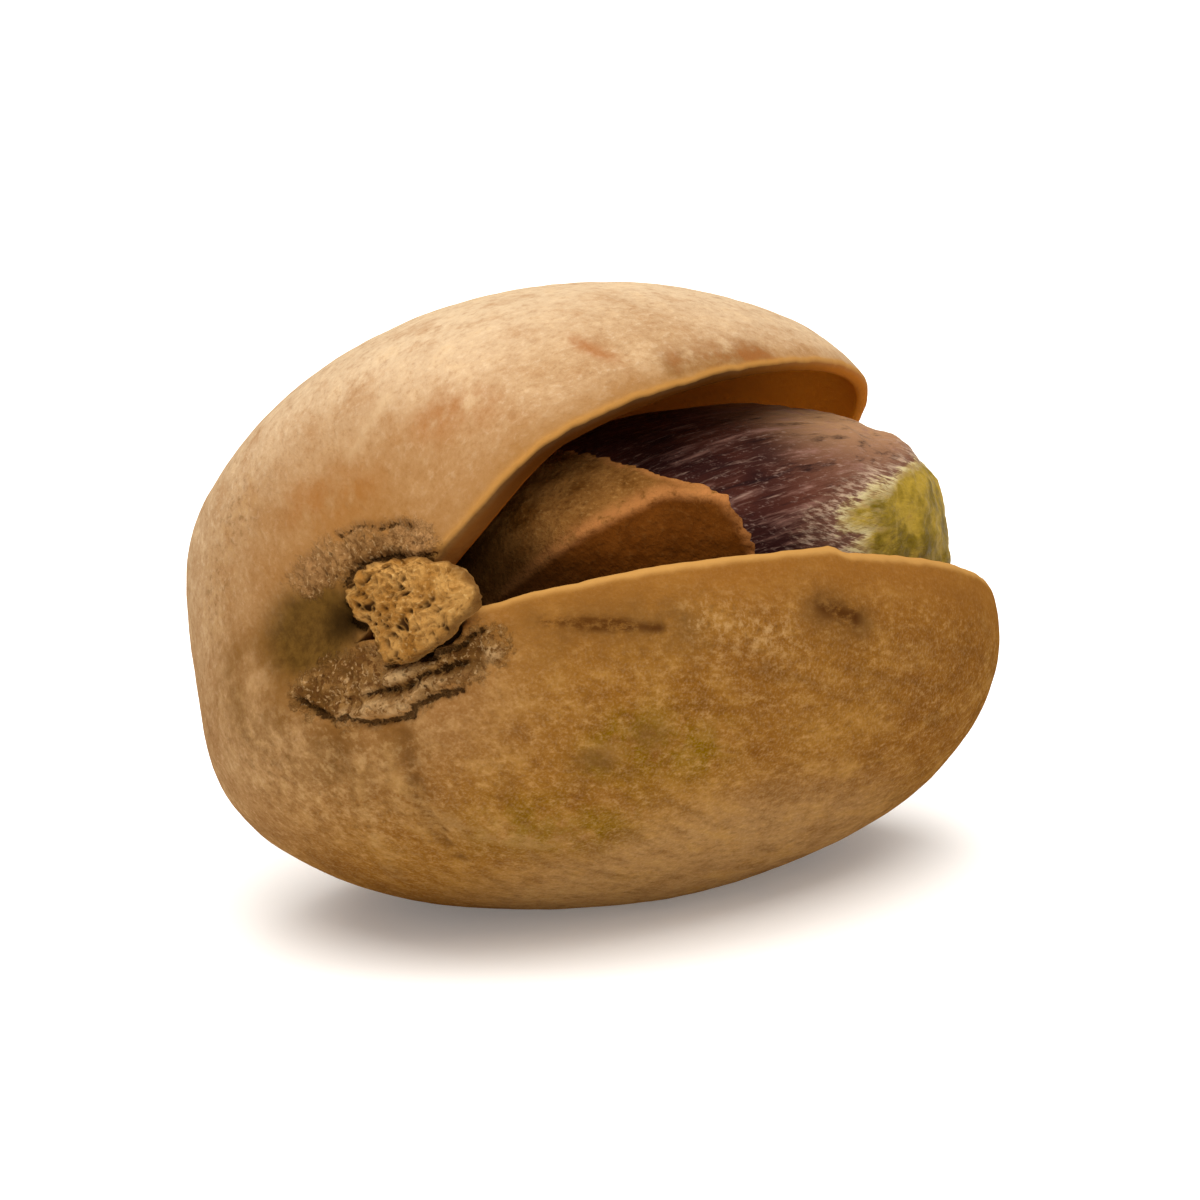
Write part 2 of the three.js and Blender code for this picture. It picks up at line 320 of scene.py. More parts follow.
view_right = np.array([np.cos(VIEW_AZIMUTH), np.sin(VIEW_AZIMUTH), 0.0])
view_back = np.array([
    np.sin(VIEW_AZIMUTH) * np.cos(VIEW_ELEVATION),
    -np.cos(VIEW_AZIMUTH) * np.cos(VIEW_ELEVATION),
    np.sin(VIEW_ELEVATION),
])
view_up = np.cross(view_back, view_right)
level_right = view_right * np.cos(VIEW_ROLL) - view_up * np.sin(VIEW_ROLL)
level_up = view_right * np.sin(VIEW_ROLL) + view_up * np.cos(VIEW_ROLL)
eye = to_scene(VIEW_AIM[0] * level_right + VIEW_AIM[1] * level_up + VIEW_DISTANCE * view_back)

camera_data = bpy.data.cameras.new("camera")
camera_data.sensor_width = SENSOR
camera_data.lens = SENSOR * VIEW_DISTANCE / VIEW_WIDTH
camera_data.clip_start, camera_data.clip_end = VIEW_CLIP
camera = add_object("camera", camera_data)
camera.matrix_world = facing(rested(level_right), rested(level_up), rested(view_back), eye)
bpy.context.scene.camera = camera
print("camera height, mm:", round(eye[2] / MM, 1), "lens, mm:", round(camera_data.lens))

# %% [markdown]
# ## From a grid to a piece
#
# A grid of points becomes triangles by cutting each cell in two. Where points coincide, at a pole or where
# the two halves of the shell are joined, they are welded into one, so the piece is closed. Numbers that the
# finish needs, such as how cracked a place is, travel with the points as named attributes.

# %% Grid to piece
WELD = 1e-5


def grid_triangles(rows, columns):
    """Two triangles for each cell of a grid that is numbered row by row. The last column meets the first."""
    index = np.arange(rows * columns).reshape(rows, columns)
    index = np.concatenate([index, index[:, :1]], axis=1)
    a, b, c, d = index[:-1, :-1], index[:-1, 1:], index[1:, 1:], index[1:, :-1]
    return np.stack([a, b, c, a, c, d], axis=-1).reshape(-1, 3)


def open_edges(triangles):
    """How many sides of triangles aren't shared by exactly two triangles."""
    sides = np.sort(triangles[:, [0, 1, 1, 2, 2, 0]].reshape(-1, 2), axis=1)
    return int(np.sum(np.unique(sides, axis=0, return_counts=True)[1] != 2))


def make_piece(name, points, triangles, fields, finish):
    """A mesh object for one node: coinciding points are welded, triangles that lose a side are dropped, and
    the faces are turned outwards if the enclosed volume, a sum of a.(b x c) / 6, comes out negative."""
    points = points.reshape(-1, 3)
    _, first, welded = np.unique(np.round(points / WELD), axis=0, return_index=True, return_inverse=True)
    triangles = welded.reshape(-1)[triangles]
    following = np.roll(triangles, 1, axis=1)
    triangles = triangles[np.all(triangles != following, axis=1)]
    used, triangles = np.unique(triangles, return_inverse=True)
    triangles = triangles.reshape(-1, 3)
    kept = first[used]
    place = to_scene(points[kept])
    a, b, c = (place[triangles[:, corner]] for corner in range(3))
    volume = np.sum(a * np.cross(b, c)) / 6
    if volume < 0:
        triangles = triangles[:, ::-1]

    mesh = bpy.data.meshes.new(name)
    mesh.vertices.add(len(place))
    mesh.vertices.foreach_set("co", place.astype(np.float32).ravel())
    mesh.loops.add(triangles.size)
    mesh.loops.foreach_set("vertex_index", triangles.astype(np.int32).ravel())
    mesh.polygons.add(len(triangles))
    mesh.polygons.foreach_set("loop_start", np.arange(0, triangles.size, 3, dtype=np.int32))
    mesh.update(calc_edges=True)
    mesh.shade_smooth()
    for field, values in fields.items():
        values = values.reshape(len(points), -1)
        kind, key = ("FLOAT_VECTOR", "vector") if values.shape[1] == 3 else ("FLOAT", "value")
        attribute = mesh.attributes.new(field, kind, "POINT")
        attribute.data.foreach_set(key, values[kept].astype(np.float32).ravel())
    mesh.materials.append(finish)

    piece = add_object(name + "_fine", mesh)
    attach(piece, "root")
    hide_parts(name)
    print(name, "triangles:", len(triangles), "open edges:", open_edges(triangles),
          "volume mm3:", round(abs(volume) / MM**3, 1))


print("a ring of 3 by 4 points has", len(grid_triangles(3, 4)), "triangles")

# %% [markdown]
# ## Building a finish from nodes
#
# A finish is a chain of small nodes. The helper below adds a node and hands back the socket to plug into
# the next one, and most of a finish is a list of tints laid over each other. Where a number or a colour is
# wanted, a field's name, a screen colour or a plain number will do. Patterns read the `grain` attribute,
# the piece's own millimetres, because they should lie along the nut and not along the table.

# %% Finish helper
STUDIO_LIGHT = 1.6


def colour(red, green, blue):
    """A screen colour from 0 to 255 as the linear values that the shader wants. The studio lights a face
    that looks up brighter than 1, so a colour that is given by its look is divided by that light."""
    share = np.array([red, green, blue]) / 255
    linear = np.where(share <= 0.04045, share / 12.92, ((share + 0.055) / 1.055) ** 2.4)
    return (*(linear / STUDIO_LIGHT).tolist(), 1.0)


class Finish:
    """A material being put together. Most methods add a node and return its output socket."""

    def __init__(self, name, gloss):
        self.material = bpy.data.materials.new(name)
        self.material.use_nodes = True
        self.nodes = self.material.node_tree.nodes
        self.links = self.material.node_tree.links
        self.shader = self.nodes["Principled BSDF"]
        self.shader.inputs["Specular IOR Level"].default_value = gloss

    def plug(self, value, socket):
        """Links a socket or a named field, or sets a screen colour, given as a tuple, or a plain value."""
        if isinstance(value, str):
            value = self.field(value)
        if isinstance(value, bpy.types.NodeSocket):
            self.links.new(value, socket)
        else:
            socket.default_value = colour(*value) if isinstance(value, tuple) else value

    def node(self, kind, inputs, **settings):
        """A new node with its settings made and its inputs plugged."""
        node = self.nodes.new("ShaderNode" + kind)
        for key, setting in settings.items():
            setattr(node, key, setting)
        for key, value in inputs.items():
            self.plug(value, node.inputs[key])
        return node

    def field(self, name, output="Fac"):
        """A number, or as "Vector" a place, that travels with the points."""
        return self.node("Attribute", {}, attribute_name=name).outputs[output]

    def grain(self, size, stretch=1, turn=(0, 0, 0)):
        """The piece's own millimetres, turned, divided by a size and stretched along the nut."""
        scale = [size * stretch, size, size]
        inputs = {"Vector": self.field("grain", "Vector"), "Rotation": list(turn), "Scale": scale}
        return self.node("Mapping", inputs, vector_type="TEXTURE").outputs["Vector"]

    def clouds(self, size, stretch=1, detail=4.0, rough=0.55, turn=(0, 0, 0)):
        """Soft noise from 0 to 1 with lumps of a size in millimetres, longer along the nut if stretched."""
        grain = self.grain(size, stretch, turn)
        inputs = {"Vector": grain, "Scale": 1.0, "Detail": detail, "Roughness": rough}
        return self.node("TexNoise", inputs).outputs["Fac"]

    def dots(self, size):
        """The distance to the nearest of many scattered dots, in cell widths."""
        return self.node("TexVoronoi", {"Vector": self.grain(size), "Scale": 1.0}).outputs["Distance"]

    def span(self, value, low, high, start=0.0, end=1.0):
        """The value carried from low..high to start..end, with soft ends."""
        inputs = {"Value": value, "From Min": low, "From Max": high, "To Min": start, "To Max": end}
        return self.node("MapRange", inputs, interpolation_type="SMOOTHSTEP").outputs["Result"]

    def times(self, first, second):
        """One number times another."""
        return self.node("Math", {0: first, 1: second}, operation="MULTIPLY").outputs["Value"]

    def plus(self, first, second):
        """One number added to another."""
        return self.node("Math", {0: first, 1: second}, operation="ADD").outputs["Value"]

    def mix(self, share, first, second):
        """The first colour with the second laid over it by a share."""
        return self.node("Mix", {"Factor": share, 6: first, 7: second}, data_type="RGBA").outputs[2]

    def lay(self, base, tint, share, strength):
        """The base with one tint laid over it, by a share times a strength."""
        return self.mix(self.times(share, strength), base, tint)

    def layers(self, base, *rows):
        """The base with tints laid over it in turn. A row gives the tint, the pattern that shows it, where
        the pattern starts and where it is full, the strength there, and any share that limits it."""
        for tint, pattern, low, high, strength, *limits in rows:
            share = self.span(pattern, low, high, 0.0, strength)
            for limit in limits:
                share = self.times(limit, share)
            base = self.mix(share, base, tint)
        return base

    def done(self, base, roughness, height, depth):
        """Plugs the colour, the roughness and a bump of a depth in millimetres into the shader."""
        bump = self.node("Bump", {"Strength": 1.0, "Distance": depth * MM, "Height": height})
        inputs = {"Base Color": base, "Roughness": roughness, "Normal": bump.outputs["Normal"]}
        for key, value in inputs.items():
            self.plug(value, self.shader.inputs[key])
        print(self.material.name, "has", len(self.nodes), "nodes")
        return self.material


print("a middle grey is", [round(value, 3) for value in colour(128, 128, 128)])

# %% [markdown]
# ## The stem scar
#
# At the stem end the shell carries the scar where the nut hung on its stalk: a shallow pit with a rough
# crust above it, another below it, and dark cracks along both. It could be a bump in the finish, but it is
# the deepest relief on the shell, so it moves the surface. Places in it are millimetres along the seam
# towards the near side, and across the seam towards the upper half.

# %% Scar layout
SCAR_SEAM = np.asarray(-16 * DEGREE)
SCAR_POINT = (
    shell_points(SCAR_SEAM, 0.0, -1, 0.0)[1] + shell_points(SCAR_SEAM, 0.0, 1, 0.0)[1]
) / 2
SCAR_OUT = seam_direction(SCAR_SEAM)
SCAR_ALONG = np.cross(Z_AXIS, SCAR_OUT)
SCAR_REACH = (5.0, 7.0)

# The plug's outline is a list of bearings in degrees and radii.
PLUG_MIDDLE = (0.85, 0.15)
PLUG_OUTLINE = (
    (-162, 1.24), (-135, 1.50), (-92, 1.15), (-49, 1.14), (-14, 1.73), (7, 1.55),
    (42, 1.12), (92, 1.12), (132, 1.70), (144, 1.80), (156, 1.70), (179, 1.31),
)
# Soft ovals: the middle, the half sizes, and how steeply the oval ends.
SCAR_OVALS = {
    "dish": ((-1.9, 0.62), (1.50, 1.10), 2),
    "shade": ((-1.05, 0.50), (0.80, 0.62), 2),
    "halo": ((-0.6, 0.0), (2.6, 2.6), 4),
    "golden": ((-0.3, 2.2), (4.2, 3.6), 2),
}
# Bands: half the width, and the places that the band runs through.
CRUSTS = (
    (0.40, ((-1.7, 1.75), (-0.9, 1.95), (0.0, 1.9), (0.7, 1.7), (1.2, 1.6))),
    (0.50, ((-2.4, -0.8), (-1.6, -0.75), (-0.9, -0.75))),
    (0.42, ((-1.7, -1.3), (-0.9, -1.35), (0.1, -1.5), (1.1, -1.4), (1.8, -1.25))),
)
CRESTS = (
    (0.10, ((-1.05, -1.3), (-0.35, -1.3), (0.2, -1.2), (0.75, -1.15))),
    (0.07, ((-1.85, -1.65), (-1.1, -1.75), (-0.3, -1.85), (0.3, -1.7), (1.1, -1.75), (2.0, -1.45))),
)
CRACKS = (
    (0.005, ((-0.5, 2.42), (0.1, 2.4), (0.65, 2.2), (1.2, 2.0))),
    (0.04, (
        (-2.9, -0.8), (-2.5, -1.2), (-2.0, -1.6), (-1.2, -1.95), (-0.3, -2.1), (0.1, -1.95), (1.0, -2.05),
    )),
    (0.02, ((-1.05, -1.47), (-0.1, -1.6), (0.35, -1.45), (1.4, -1.45))),
    (0.03, ((-0.3, -0.98), (0.8, -1.08), (1.4, -1.0), (1.9, -0.85))),
    (0.09, ((-0.8, 0.9), (-0.72, 1.38), (-0.31, 1.58), (0.3, 1.5), (0.82, 1.38), (1.67, 1.03))),
    (0.09, ((-0.9, 0.5), (-0.55, 0.2))),
    (0.05, ((-2.4, -1.3), (-2.05, -1.52))),
)


def gap_to(along, across, bands):
    """The distance to the nearest edge of several bands, below 0 inside one: on each straight stretch the
    foot of the perpendicular, kept between the stretch's ends, and then the nearest of them all."""
    nearest = np.inf
    for half, path in bands:
        for (u0, v0), (u1, v1) in zip(path[:-1], path[1:]):
            run, rise = u1 - u0, v1 - v0
            share = np.clip(((along - u0) * run + (across - v0) * rise) / (run**2 + rise**2), 0, 1)
            away = np.hypot(along - u0 - share * run, across - v0 - share * rise)
            nearest = np.minimum(nearest, away - half)
    return nearest


def plug_radius(bearing):
    """The radius of the plug's outline at a bearing in degrees."""
    return np.interp(bearing, *np.array(PLUG_OUTLINE).T, period=360)


print("scar at, mm:", SCAR_POINT.round(2))
print("crusts:", len(CRUSTS), "crests:", len(CRESTS), "cracks and holes:", len(CRACKS))

# %% Scar relief
PIT_DEPTH = 0.75
PIT_EDGE = (0.84, 1.02)
PIT_FILLED = (1.1, 1.9)
DISH_DEPTH = 0.50
CRUST_DEPTH = 0.10
CRUST_EDGE = (-0.2, 0.2)
CRUST_FRAY = 0.10
CREST_HEIGHT = 0.20
CREST_EDGE = (-0.08, 0.22)
CREST_LEVEL = 0.65
CREST_LUMPS = 1.1
CRACK_DEPTH = 0.16
CRACK_EDGE = (-0.03, 0.12)
CRACK_FRAY = 0.03
LUMP_SIZE = 0.55
LUMP_HEIGHT = 0.14
CRUMB_SIZE = 0.22
CRUMB_HEIGHT = 0.11
SHAKE = 0.12
SHAKE_SIZE = 0.7
FAR_OFF = 3.0


def scar_fields(points):
    """How far the scar stands out at each point, in millimetres, and what the finish needs: the gaps to the
    nearest crust and crack, and how much of the crests, the pit and the ovals is there. The places are first
    shaken by noise, so that no edge runs straight, and lumps break the crests up."""
    away = points - SCAR_POINT
    near = 1 - soft_step(np.linalg.norm(away, axis=-1), *SCAR_REACH)
    along = away @ SCAR_ALONG + SHAKE * layered_noise(points, SHAKE_SIZE, seed=11)
    across = away[..., 2] + SHAKE * layered_noise(points, SHAKE_SIZE, seed=12)
    u, v = along - PLUG_MIDDLE[0], across - PLUG_MIDDLE[1]
    plug_share = np.hypot(u, v) / plug_radius(np.arctan2(v, u) / DEGREE)
    pit = near * (1 - soft_step(plug_share, *PIT_EDGE)) * (1 - soft_step(along, *PIT_FILLED))
    ovals = {
        name: near * np.exp(-(np.hypot((along - u0) / length, (across - v0) / width) ** power))
        for name, ((u0, v0), (length, width), power) in SCAR_OVALS.items()
    }
    lumps = noise(points, LUMP_SIZE, seed=13)
    crumbs = noise(points, CRUMB_SIZE, seed=15)
    crust_gap = gap_to(along, across, CRUSTS) + CRUST_FRAY * lumps + FAR_OFF * (1 - near)
    crack_gap = gap_to(along, across, CRACKS) + CRACK_FRAY * lumps + FAR_OFF * (1 - near)
    crust = 1 - soft_step(crust_gap, *CRUST_EDGE)
    crack = 1 - soft_step(crack_gap, *CRACK_EDGE)
    broken = np.clip(CREST_LEVEL + CREST_LUMPS * lumps, 0, 1)
    crest = near * (1 - soft_step(gap_to(along, across, CRESTS), *CREST_EDGE)) * broken
    height = CREST_HEIGHT * crest - CRUST_DEPTH * crust - PIT_DEPTH * pit - DISH_DEPTH * ovals["dish"]
    height += crust * (LUMP_HEIGHT * lumps + CRUMB_HEIGHT * crumbs) - CRACK_DEPTH * crack
    gaps = {"crust_gap": crust_gap, "crack_gap": crack_gap}
    return {"height": height, "crest": crest, "pit": pit, **gaps, **ovals}


print("scar relief from", -PIT_DEPTH - DISH_DEPTH, "to", CREST_HEIGHT, "mm")

# %% [markdown]
# ## Marks on the shell
#
# The shell is stained where its green hull clung to it: bruises, brown and orange streaks, olive patches,
# pale flecks. Below the scar it is drawn into low folds and ridges. A painted texture could hold them. Here
# each is a short stroke between two places on the shell, and the finish breaks its edge up with noise.

# %% Marks
# A stroke has a side, two places, each an angle along the seam and a lift in degrees, and a width.
STAINS = {
    "brown": (
        (-1, (-39, 6), (-57, 13), 0.13),
        (-1, (-45, 8.5), (-51, 10.5), 0.17),
        (-1, (-86, 12.5), (-93, 15.5), 0.27),
        (-1, (95, 22), (112, 18), 0.20),
    ),
    "orange": (
        (1, (-66, 18), (-67, 15), 0.26),
        (1, (-68, 12), (-70, 9), 0.24),
        (1, (-36, 17), (-43, 15), 0.55),
        (1, (-12, 21), (-19, 18), 0.75),
        (1, (-80, 3), (-102, 2), 0.50),
        (1, (150, 30), (135, 40), 0.80),
    ),
    "olive": (
        (-1, (-46, 36), (-60, 42), 0.90),
        (-1, (-39, 37), (-48, 34), 0.55),
        (-1, (-14, 45), (-30, 54), 1.05),
    ),
    "pale": (
        (-1, (-64, 13), (-78, 19), 0.65),
        (-1, (12, 8), (4, 30), 1.6),
        (-1, (0, 14), (-12, 20), 0.7),
        (1, (0, 30), (14, 20), 0.9),
    ),
    "crease": (
        (1, (-32, 27), (-22, 23), 0.14),
    ),
    "bruise": (
        (-1, (8, 2), (-2, 16), 1.3),
        (1, (11, 7), (2, 5), 0.9),
        (-1, (-2, 16), (-10, 18), 0.6),
        # Partly painted shade: this bruise darkens the band under the upper rim by the gape.
        (1, (-78, 3), (-100, 2), 0.50),
        (-1, (-38, 7), (-60, 13), 0.75),
        (-1, (-84, 12), (-94, 16), 0.60),
        (-1, (-49, 34), (-52, 36), 0.34),
        (-1, (-37, 36), (-40, 38), 0.36),
    ),
}
FOLDS = (
    (-1, (-12, 18), (-7, 29), 0.20),
    (-1, (-7, 29), (-2, 39), 0.18),
    (-1, (-2, 39), (4, 47), 0.14),
    (-1, (-1, 14), (1, 19), 0.30),
)
RIDGES = (
    (-1, (-2, 21), (4, 28), 0.20),
    (-1, (4, 28), (12, 36), 0.22),
    (-1, (12, 36), (24, 42), 0.18),
    (-1, (-8, 20), (-4, 29), 0.16),
    (-1, (-4, 29), (2, 40), 0.14),
    (-1, (-3, 32), (-14, 52), 0.55),
)


def strokes(points, marks):
    """The sum of soft strokes: for each, e^-(distance / width)^2 from the straight line between its two
    places on the outer face."""
    total = np.zeros(points.shape[:-1])
    for side, start, end, width in marks:
        first, last = (
            shell_points(np.asarray(seam * DEGREE), np.asarray(lift * DEGREE), side, 0.0)[1]
            for seam, lift in (start, end)
        )
        run = last - first
        share = np.clip((points - first) @ run / (run @ run), 0, 1)[..., None]
        total += np.exp(-(np.sum((points - first - share * run) ** 2, axis=-1) / width**2))
    return np.clip(total, 0, 1)


print("strokes:", sum(map(len, STAINS.values())), "stains,", len(FOLDS), "folds,", len(RIDGES), "ridges")

# %% [markdown]
# ## The shell's finish
#
# A dry pistachio shell is cream-tan and matt. The upper half is pinker, with a pale crown that is partly its
# own tone and partly painted light where the top faces the lamp; the lower half is yellower and browner, and
# darker as painted shade. Its keel is painted paler, as light thrown up from the floor. Over that lie fine
# scratches along the nut, specks, stains, and the golden tone and brown crust of the scar. Inside, the wall
# is smooth and orange-brown. One painted image could hold it all, but layers of noise stay sharp at any
# distance, and each can be changed alone.

# %% Shell finish
def shell_ground(finish):
    """Ground colour of the two halves, the lower half darker as painted shade, the crown paler partly as
    painted light and the keel paler as painted light from the floor, with olive patches, mottling, scratches,
    streaks and fine grain. Also the mottling and the scratches, for the relief."""
    broad = finish.span(finish.clouds(4.5, 1.6, 3.0), 0.35, 0.68)
    upper = finish.mix(broad, (194, 155, 112), (206, 170, 130))
    # Painted shade: the lower half's ground is darker, besides being yellower in its own tone.
    lower = finish.mix(broad, (138, 88, 28), (160, 110, 42))
    base = finish.mix("lower_half", upper, lower)
    # Painted light: the crown is paler where the top faces the lamp, on top of its own pale tone.
    base = finish.lay(base, (228, 202, 167), "crown", 0.80)
    # Painted light: the keel is paler, as light thrown up from the white floor.
    base = finish.lay(base, (200, 160, 108), "keel", 0.45)

    wear_and_highlight = finish.mix("lower_half", (234, 200, 156), (184, 136, 68))
    stained = finish.mix("lower_half", (176, 128, 82), (124, 78, 30))
    bright = finish.mix("lower_half", (246, 218, 182), (208, 162, 98))
    dull = finish.mix("lower_half", (156, 108, 66), (106, 66, 24))
    blotch = finish.clouds(0.9, 1.4, 6.0, 0.72, (0.2, 0.4, 0.5))
    mottle = finish.clouds(0.9, 1.4, 6.0, 0.65)
    scratch = finish.clouds(0.15, 2.0, 5.0, 0.68)
    scratched = finish.span("lower_half", 0.0, 1.0, 0.34, 0.40)
    streak = finish.clouds(0.55, 5.0, 5.0, 0.62, (0.0, 0.1, 0.25))
    streaked = finish.span("lower_half", 0.0, 1.0, 0.15, 0.42)
    sand = finish.clouds(0.07, 1, 2.0, 0.6)
    base = finish.layers(
        base,
        ((128, 92, 0), blotch, 0.35, 0.55, 0.95, "olive"),
        (stained, mottle, 0.48, 0.70, 0.55),
        (wear_and_highlight, mottle, 0.48, 0.30, 0.50),
        (bright, scratch, 0.50, 0.70, 1.0, scratched),
        (dull, scratch, 0.50, 0.32, 1.0, scratched),
        (dull, streak, 0.50, 0.70, 1.0, streaked),
        (wear_and_highlight, streak, 0.50, 0.30, 1.0, streaked),
        ((236, 198, 146), sand, 0.42, 0.70, 0.13),
    )
    return base, mottle, scratch


def shell_stains(finish, base, mottle):
    """Bruises, orange patches, brown marks, freckles, pale and dark flecks, ridges, folds darkened as painted
    shade, and a crease.
    """
    bruised = finish.times("bruise", finish.span(mottle, 0.30, 0.62, 0.15, 0.75))
    base = finish.mix(bruised, base, (118, 82, 40))
    ragged = finish.clouds(0.32, 2.2, 5.0, 0.72)
    curl = finish.clouds(0.26, 1, 5.0, 0.7)
    freckles = finish.span(finish.dots(1.9), 0.16, 0.02)
    base = finish.layers(
        base,
        ((170, 104, 54), mottle, 0.36, 0.60, 0.65, "orange"),
        ((78, 43, 14), ragged, 0.34, 0.54, 0.95, "brown"),
        ((116, 70, 30), ragged, 0.40, 0.60, 0.35, freckles),
        ((214, 174, 118), curl, 0.48, 0.66, 0.45, "pale"),
        ((106, 76, 40), curl, 0.47, 0.34, 0.50, "pale"),
        ((192, 150, 92), ragged, 0.64, 0.40, 0.40, "ridge"),
        # Painted shade: the folds are darkened where shade falls in them.
        ((92, 60, 28), ragged, 0.34, 0.60, 0.66, "fold"),
    )
    return finish.lay(base, (240, 210, 166), "crease", 0.45)


def shell_scar(finish, base):
    """The scar: a golden tone and a brown halo, the olive dish, darkened partly as painted shade in its
    hollow, brown crumbled crust with lighter crests, the pit round the plug in painted shade, and cracks.
    Also the share of crust and of crack, and the crumbs, for the relief."""
    shake = finish.clouds(0.22, 1, 3.0, 0.7)
    crumbs = finish.clouds(0.13, 1, 3.0, 0.65)
    patch = finish.clouds(0.8)
    grains = finish.clouds(0.10, 1, 2.0, 0.6)
    holes = finish.dots(0.27)
    edge = finish.plus("crust_gap", finish.span(shake, 0.25, 0.75, -0.20, 0.20))
    crust = finish.span(edge, 0.20, -0.16)
    split = finish.plus("crack_gap", finish.span(crumbs, 0.25, 0.75, -0.05, 0.05))
    broken = finish.span(shake, 0.32, 0.55, 0.45, 1.0)
    crack = finish.times(finish.span(split, 0.035, -0.035), broken)

    # The dish's dark olive is partly its own tone and partly painted shade in the hollow.
    dish = finish.layers((76, 52, 17), ((104, 74, 29), shake, 0.30, 0.70, 1.0))
    soil = finish.layers(
        (108, 72, 32),
        ((156, 114, 64), patch, 0.40, 0.62, 1.0),
        ((188, 140, 90), "lower_half", 0.50, 0.30, 0.80),
        ((98, 62, 28), crumbs, 0.54, 0.40, 1.0, finish.span("lower_half", 0.30, 0.50, 0.40, 1.0)),
    )
    light = finish.layers(
        (164, 120, 72),
        ((210, 172, 120), patch, 0.40, 0.62, 1.0),
        ((120, 82, 42), crumbs, 0.50, 0.34, 1.0),
    )
    base = finish.layers(
        finish.lay(base, (152, 100, 38), "golden", 0.68),
        ((150, 98, 42), "halo", 0.0, 1.0, 0.40),
        (dish, "dish", 0.08, 0.68, 0.92),
        (soil, edge, 0.20, -0.16, 0.92),
        (light, "crest", 0.10, 0.80, 0.75),
        ((206, 166, 114), grains, 0.55, 0.70, 0.60, crust),
        ((66, 41, 18), holes, 0.20, 0.05, 0.55, crust),
        # Painted shade: the pit round the plug is darkened.
        ((54, 33, 14), "pit", 0.10, 0.70, 0.90),
        ((60, 37, 16), split, 0.035, -0.035, 0.85, broken),
    )
    pitted = finish.plus(crumbs, finish.span(holes, 0.20, 0.05, 0.0, -0.35))
    return base, crust, crack, pitted


def shell_finish():
    """Ground, stains, scar, painted shade along the rims and by the plug, the lip's painted shade and
    highlights, the inside with painted light at the tip, and a relief of scratches, crumbs and cracks.
    """
    finish = Finish("shell_tan", gloss=0.0)
    base, mottle, scratch = shell_ground(finish)
    # Painted shade: the outer face darkens towards the free rims, where it turns away from the lamp.
    rim = finish.mix("lower_half", (160, 110, 52), (156, 102, 42))
    base = finish.lay(base, rim, "rim", 0.75)
    base = shell_stains(finish, base, mottle)
    base, crust, crack, crumbs = shell_scar(finish, base)
    inner = finish.mix(finish.clouds(1.5, 3), (156, 80, 18), (186, 106, 34))
    # Painted light: the inside near the tip is painted bright, as if light shone through the thin wall.
    inner = finish.mix("tip_end", inner, (255, 150, 40))
    base = finish.layers(base, (inner, "inside", 0.0, 0.35, 1.0))
    # Painted shade and highlights on the lip: dark as shade on the upper half, lighter towards the tip, a
    # painted highlight along its outer edge, and a pale painted highlight on the lower lip.
    lip = finish.mix("tip_end", (52, 27, 8), (176, 106, 40))
    lip = finish.layers(lip, ((196, 140, 70), "inside", 0.11, 0.0, 1.0))
    lip = finish.mix("lower_half", lip, (206, 154, 84))
    base = finish.lay(base, lip, "lip", 0.85)
    base = finish.layers(base, ((44, 28, 10), "shade", 0.15, 1.0, 0.9))

    rough = finish.plus(finish.span(mottle, 0.3, 0.7, 0.46, 0.60), finish.times(crust, 0.35))
    height = finish.plus(finish.times(scratch, 0.8), finish.times(mottle, 0.5))
    height = finish.plus(height, finish.times(crust, finish.times(crumbs, 2.6)))
    height = finish.plus(height, finish.times(crack, -2.0))
    return finish.done(base, rough, height, 0.05)


shell_material = shell_finish()

# %% [markdown]
# ## The shell's surface
#
# Each half is one grid: it starts at the crown, runs down the outer face to the seam, over the rounded lip
# and up the inner face. Columns are closer together at the scar. An even grid would do for a smooth shell,
# but the scar's fine relief would then need several times as many points.

# %% Shell grid
SEAM_COLUMNS = 374
OUTER_ROWS = 110
LIP_ROWS = 5
INNER_ROWS = 18
SHELL_ROWS = OUTER_ROWS + LIP_ROWS + INNER_ROWS
SCAR_CROWDING = (4.0, 21 * DEGREE)
SEAM_CROWDING = (2.2, 24 * DEGREE)
CROWDING_STEPS = 3601


def crowded(low, high, middle, crowding, span, steps):
    """Angles from low to high that lie closer together near the middle: a density, 1 plus a bell curve, is
    added up and read back at equal steps."""
    fine = np.linspace(low, high, CROWDING_STEPS)
    density = 1 + crowding * np.exp(-(((fine - middle) / span) ** 2))
    total = np.concatenate([[0], np.cumsum((density[1:] + density[:-1]) / 2)])
    return np.interp(np.linspace(0, total[-1], steps), total, fine)


def profile_rows():
    """Lift, depth and lip roundness down one section of the wall: closer rows near the seam outside, a half
    circle over the lip, and even rows inside."""
    outer = crowded(0, np.pi / 2, 0, *SEAM_CROWDING, OUTER_ROWS)[::-1]
    over = np.linspace(0, np.pi, LIP_ROWS + 2)[1:-1]
    inner = np.linspace(0, np.pi / 2, INNER_ROWS)
    lift = np.concatenate([outer, 0 * over, inner])
    depth = np.concatenate([0 * outer, (1 - np.cos(over)) / 2, 0 * inner + 1])
    roundness = np.concatenate([0 * outer, np.sin(over), 0 * inner])
    return lift[:, None], depth[:, None], roundness[:, None]


SEAM_ANGLES = crowded(-np.pi, np.pi, SCAR_SEAM, *SCAR_CROWDING, SEAM_COLUMNS + 1)[:-1]
print("shell grid:", SHELL_ROWS, "rows of", SEAM_COLUMNS, "points on each half")

# %% [markdown]
# To the left of the plug the scar's crust has grown across the seam, so the rims are drawn together there.
# The tones tell the finish where the shell changes colour: the crown is pale, partly as painted light on the
# top, the keel is pale as painted light from the floor, the rims are darker as painted shade, the lip carries
# painted shade and highlights, and the inside at the tip is painted bright as if light shone through the
# thin wall.

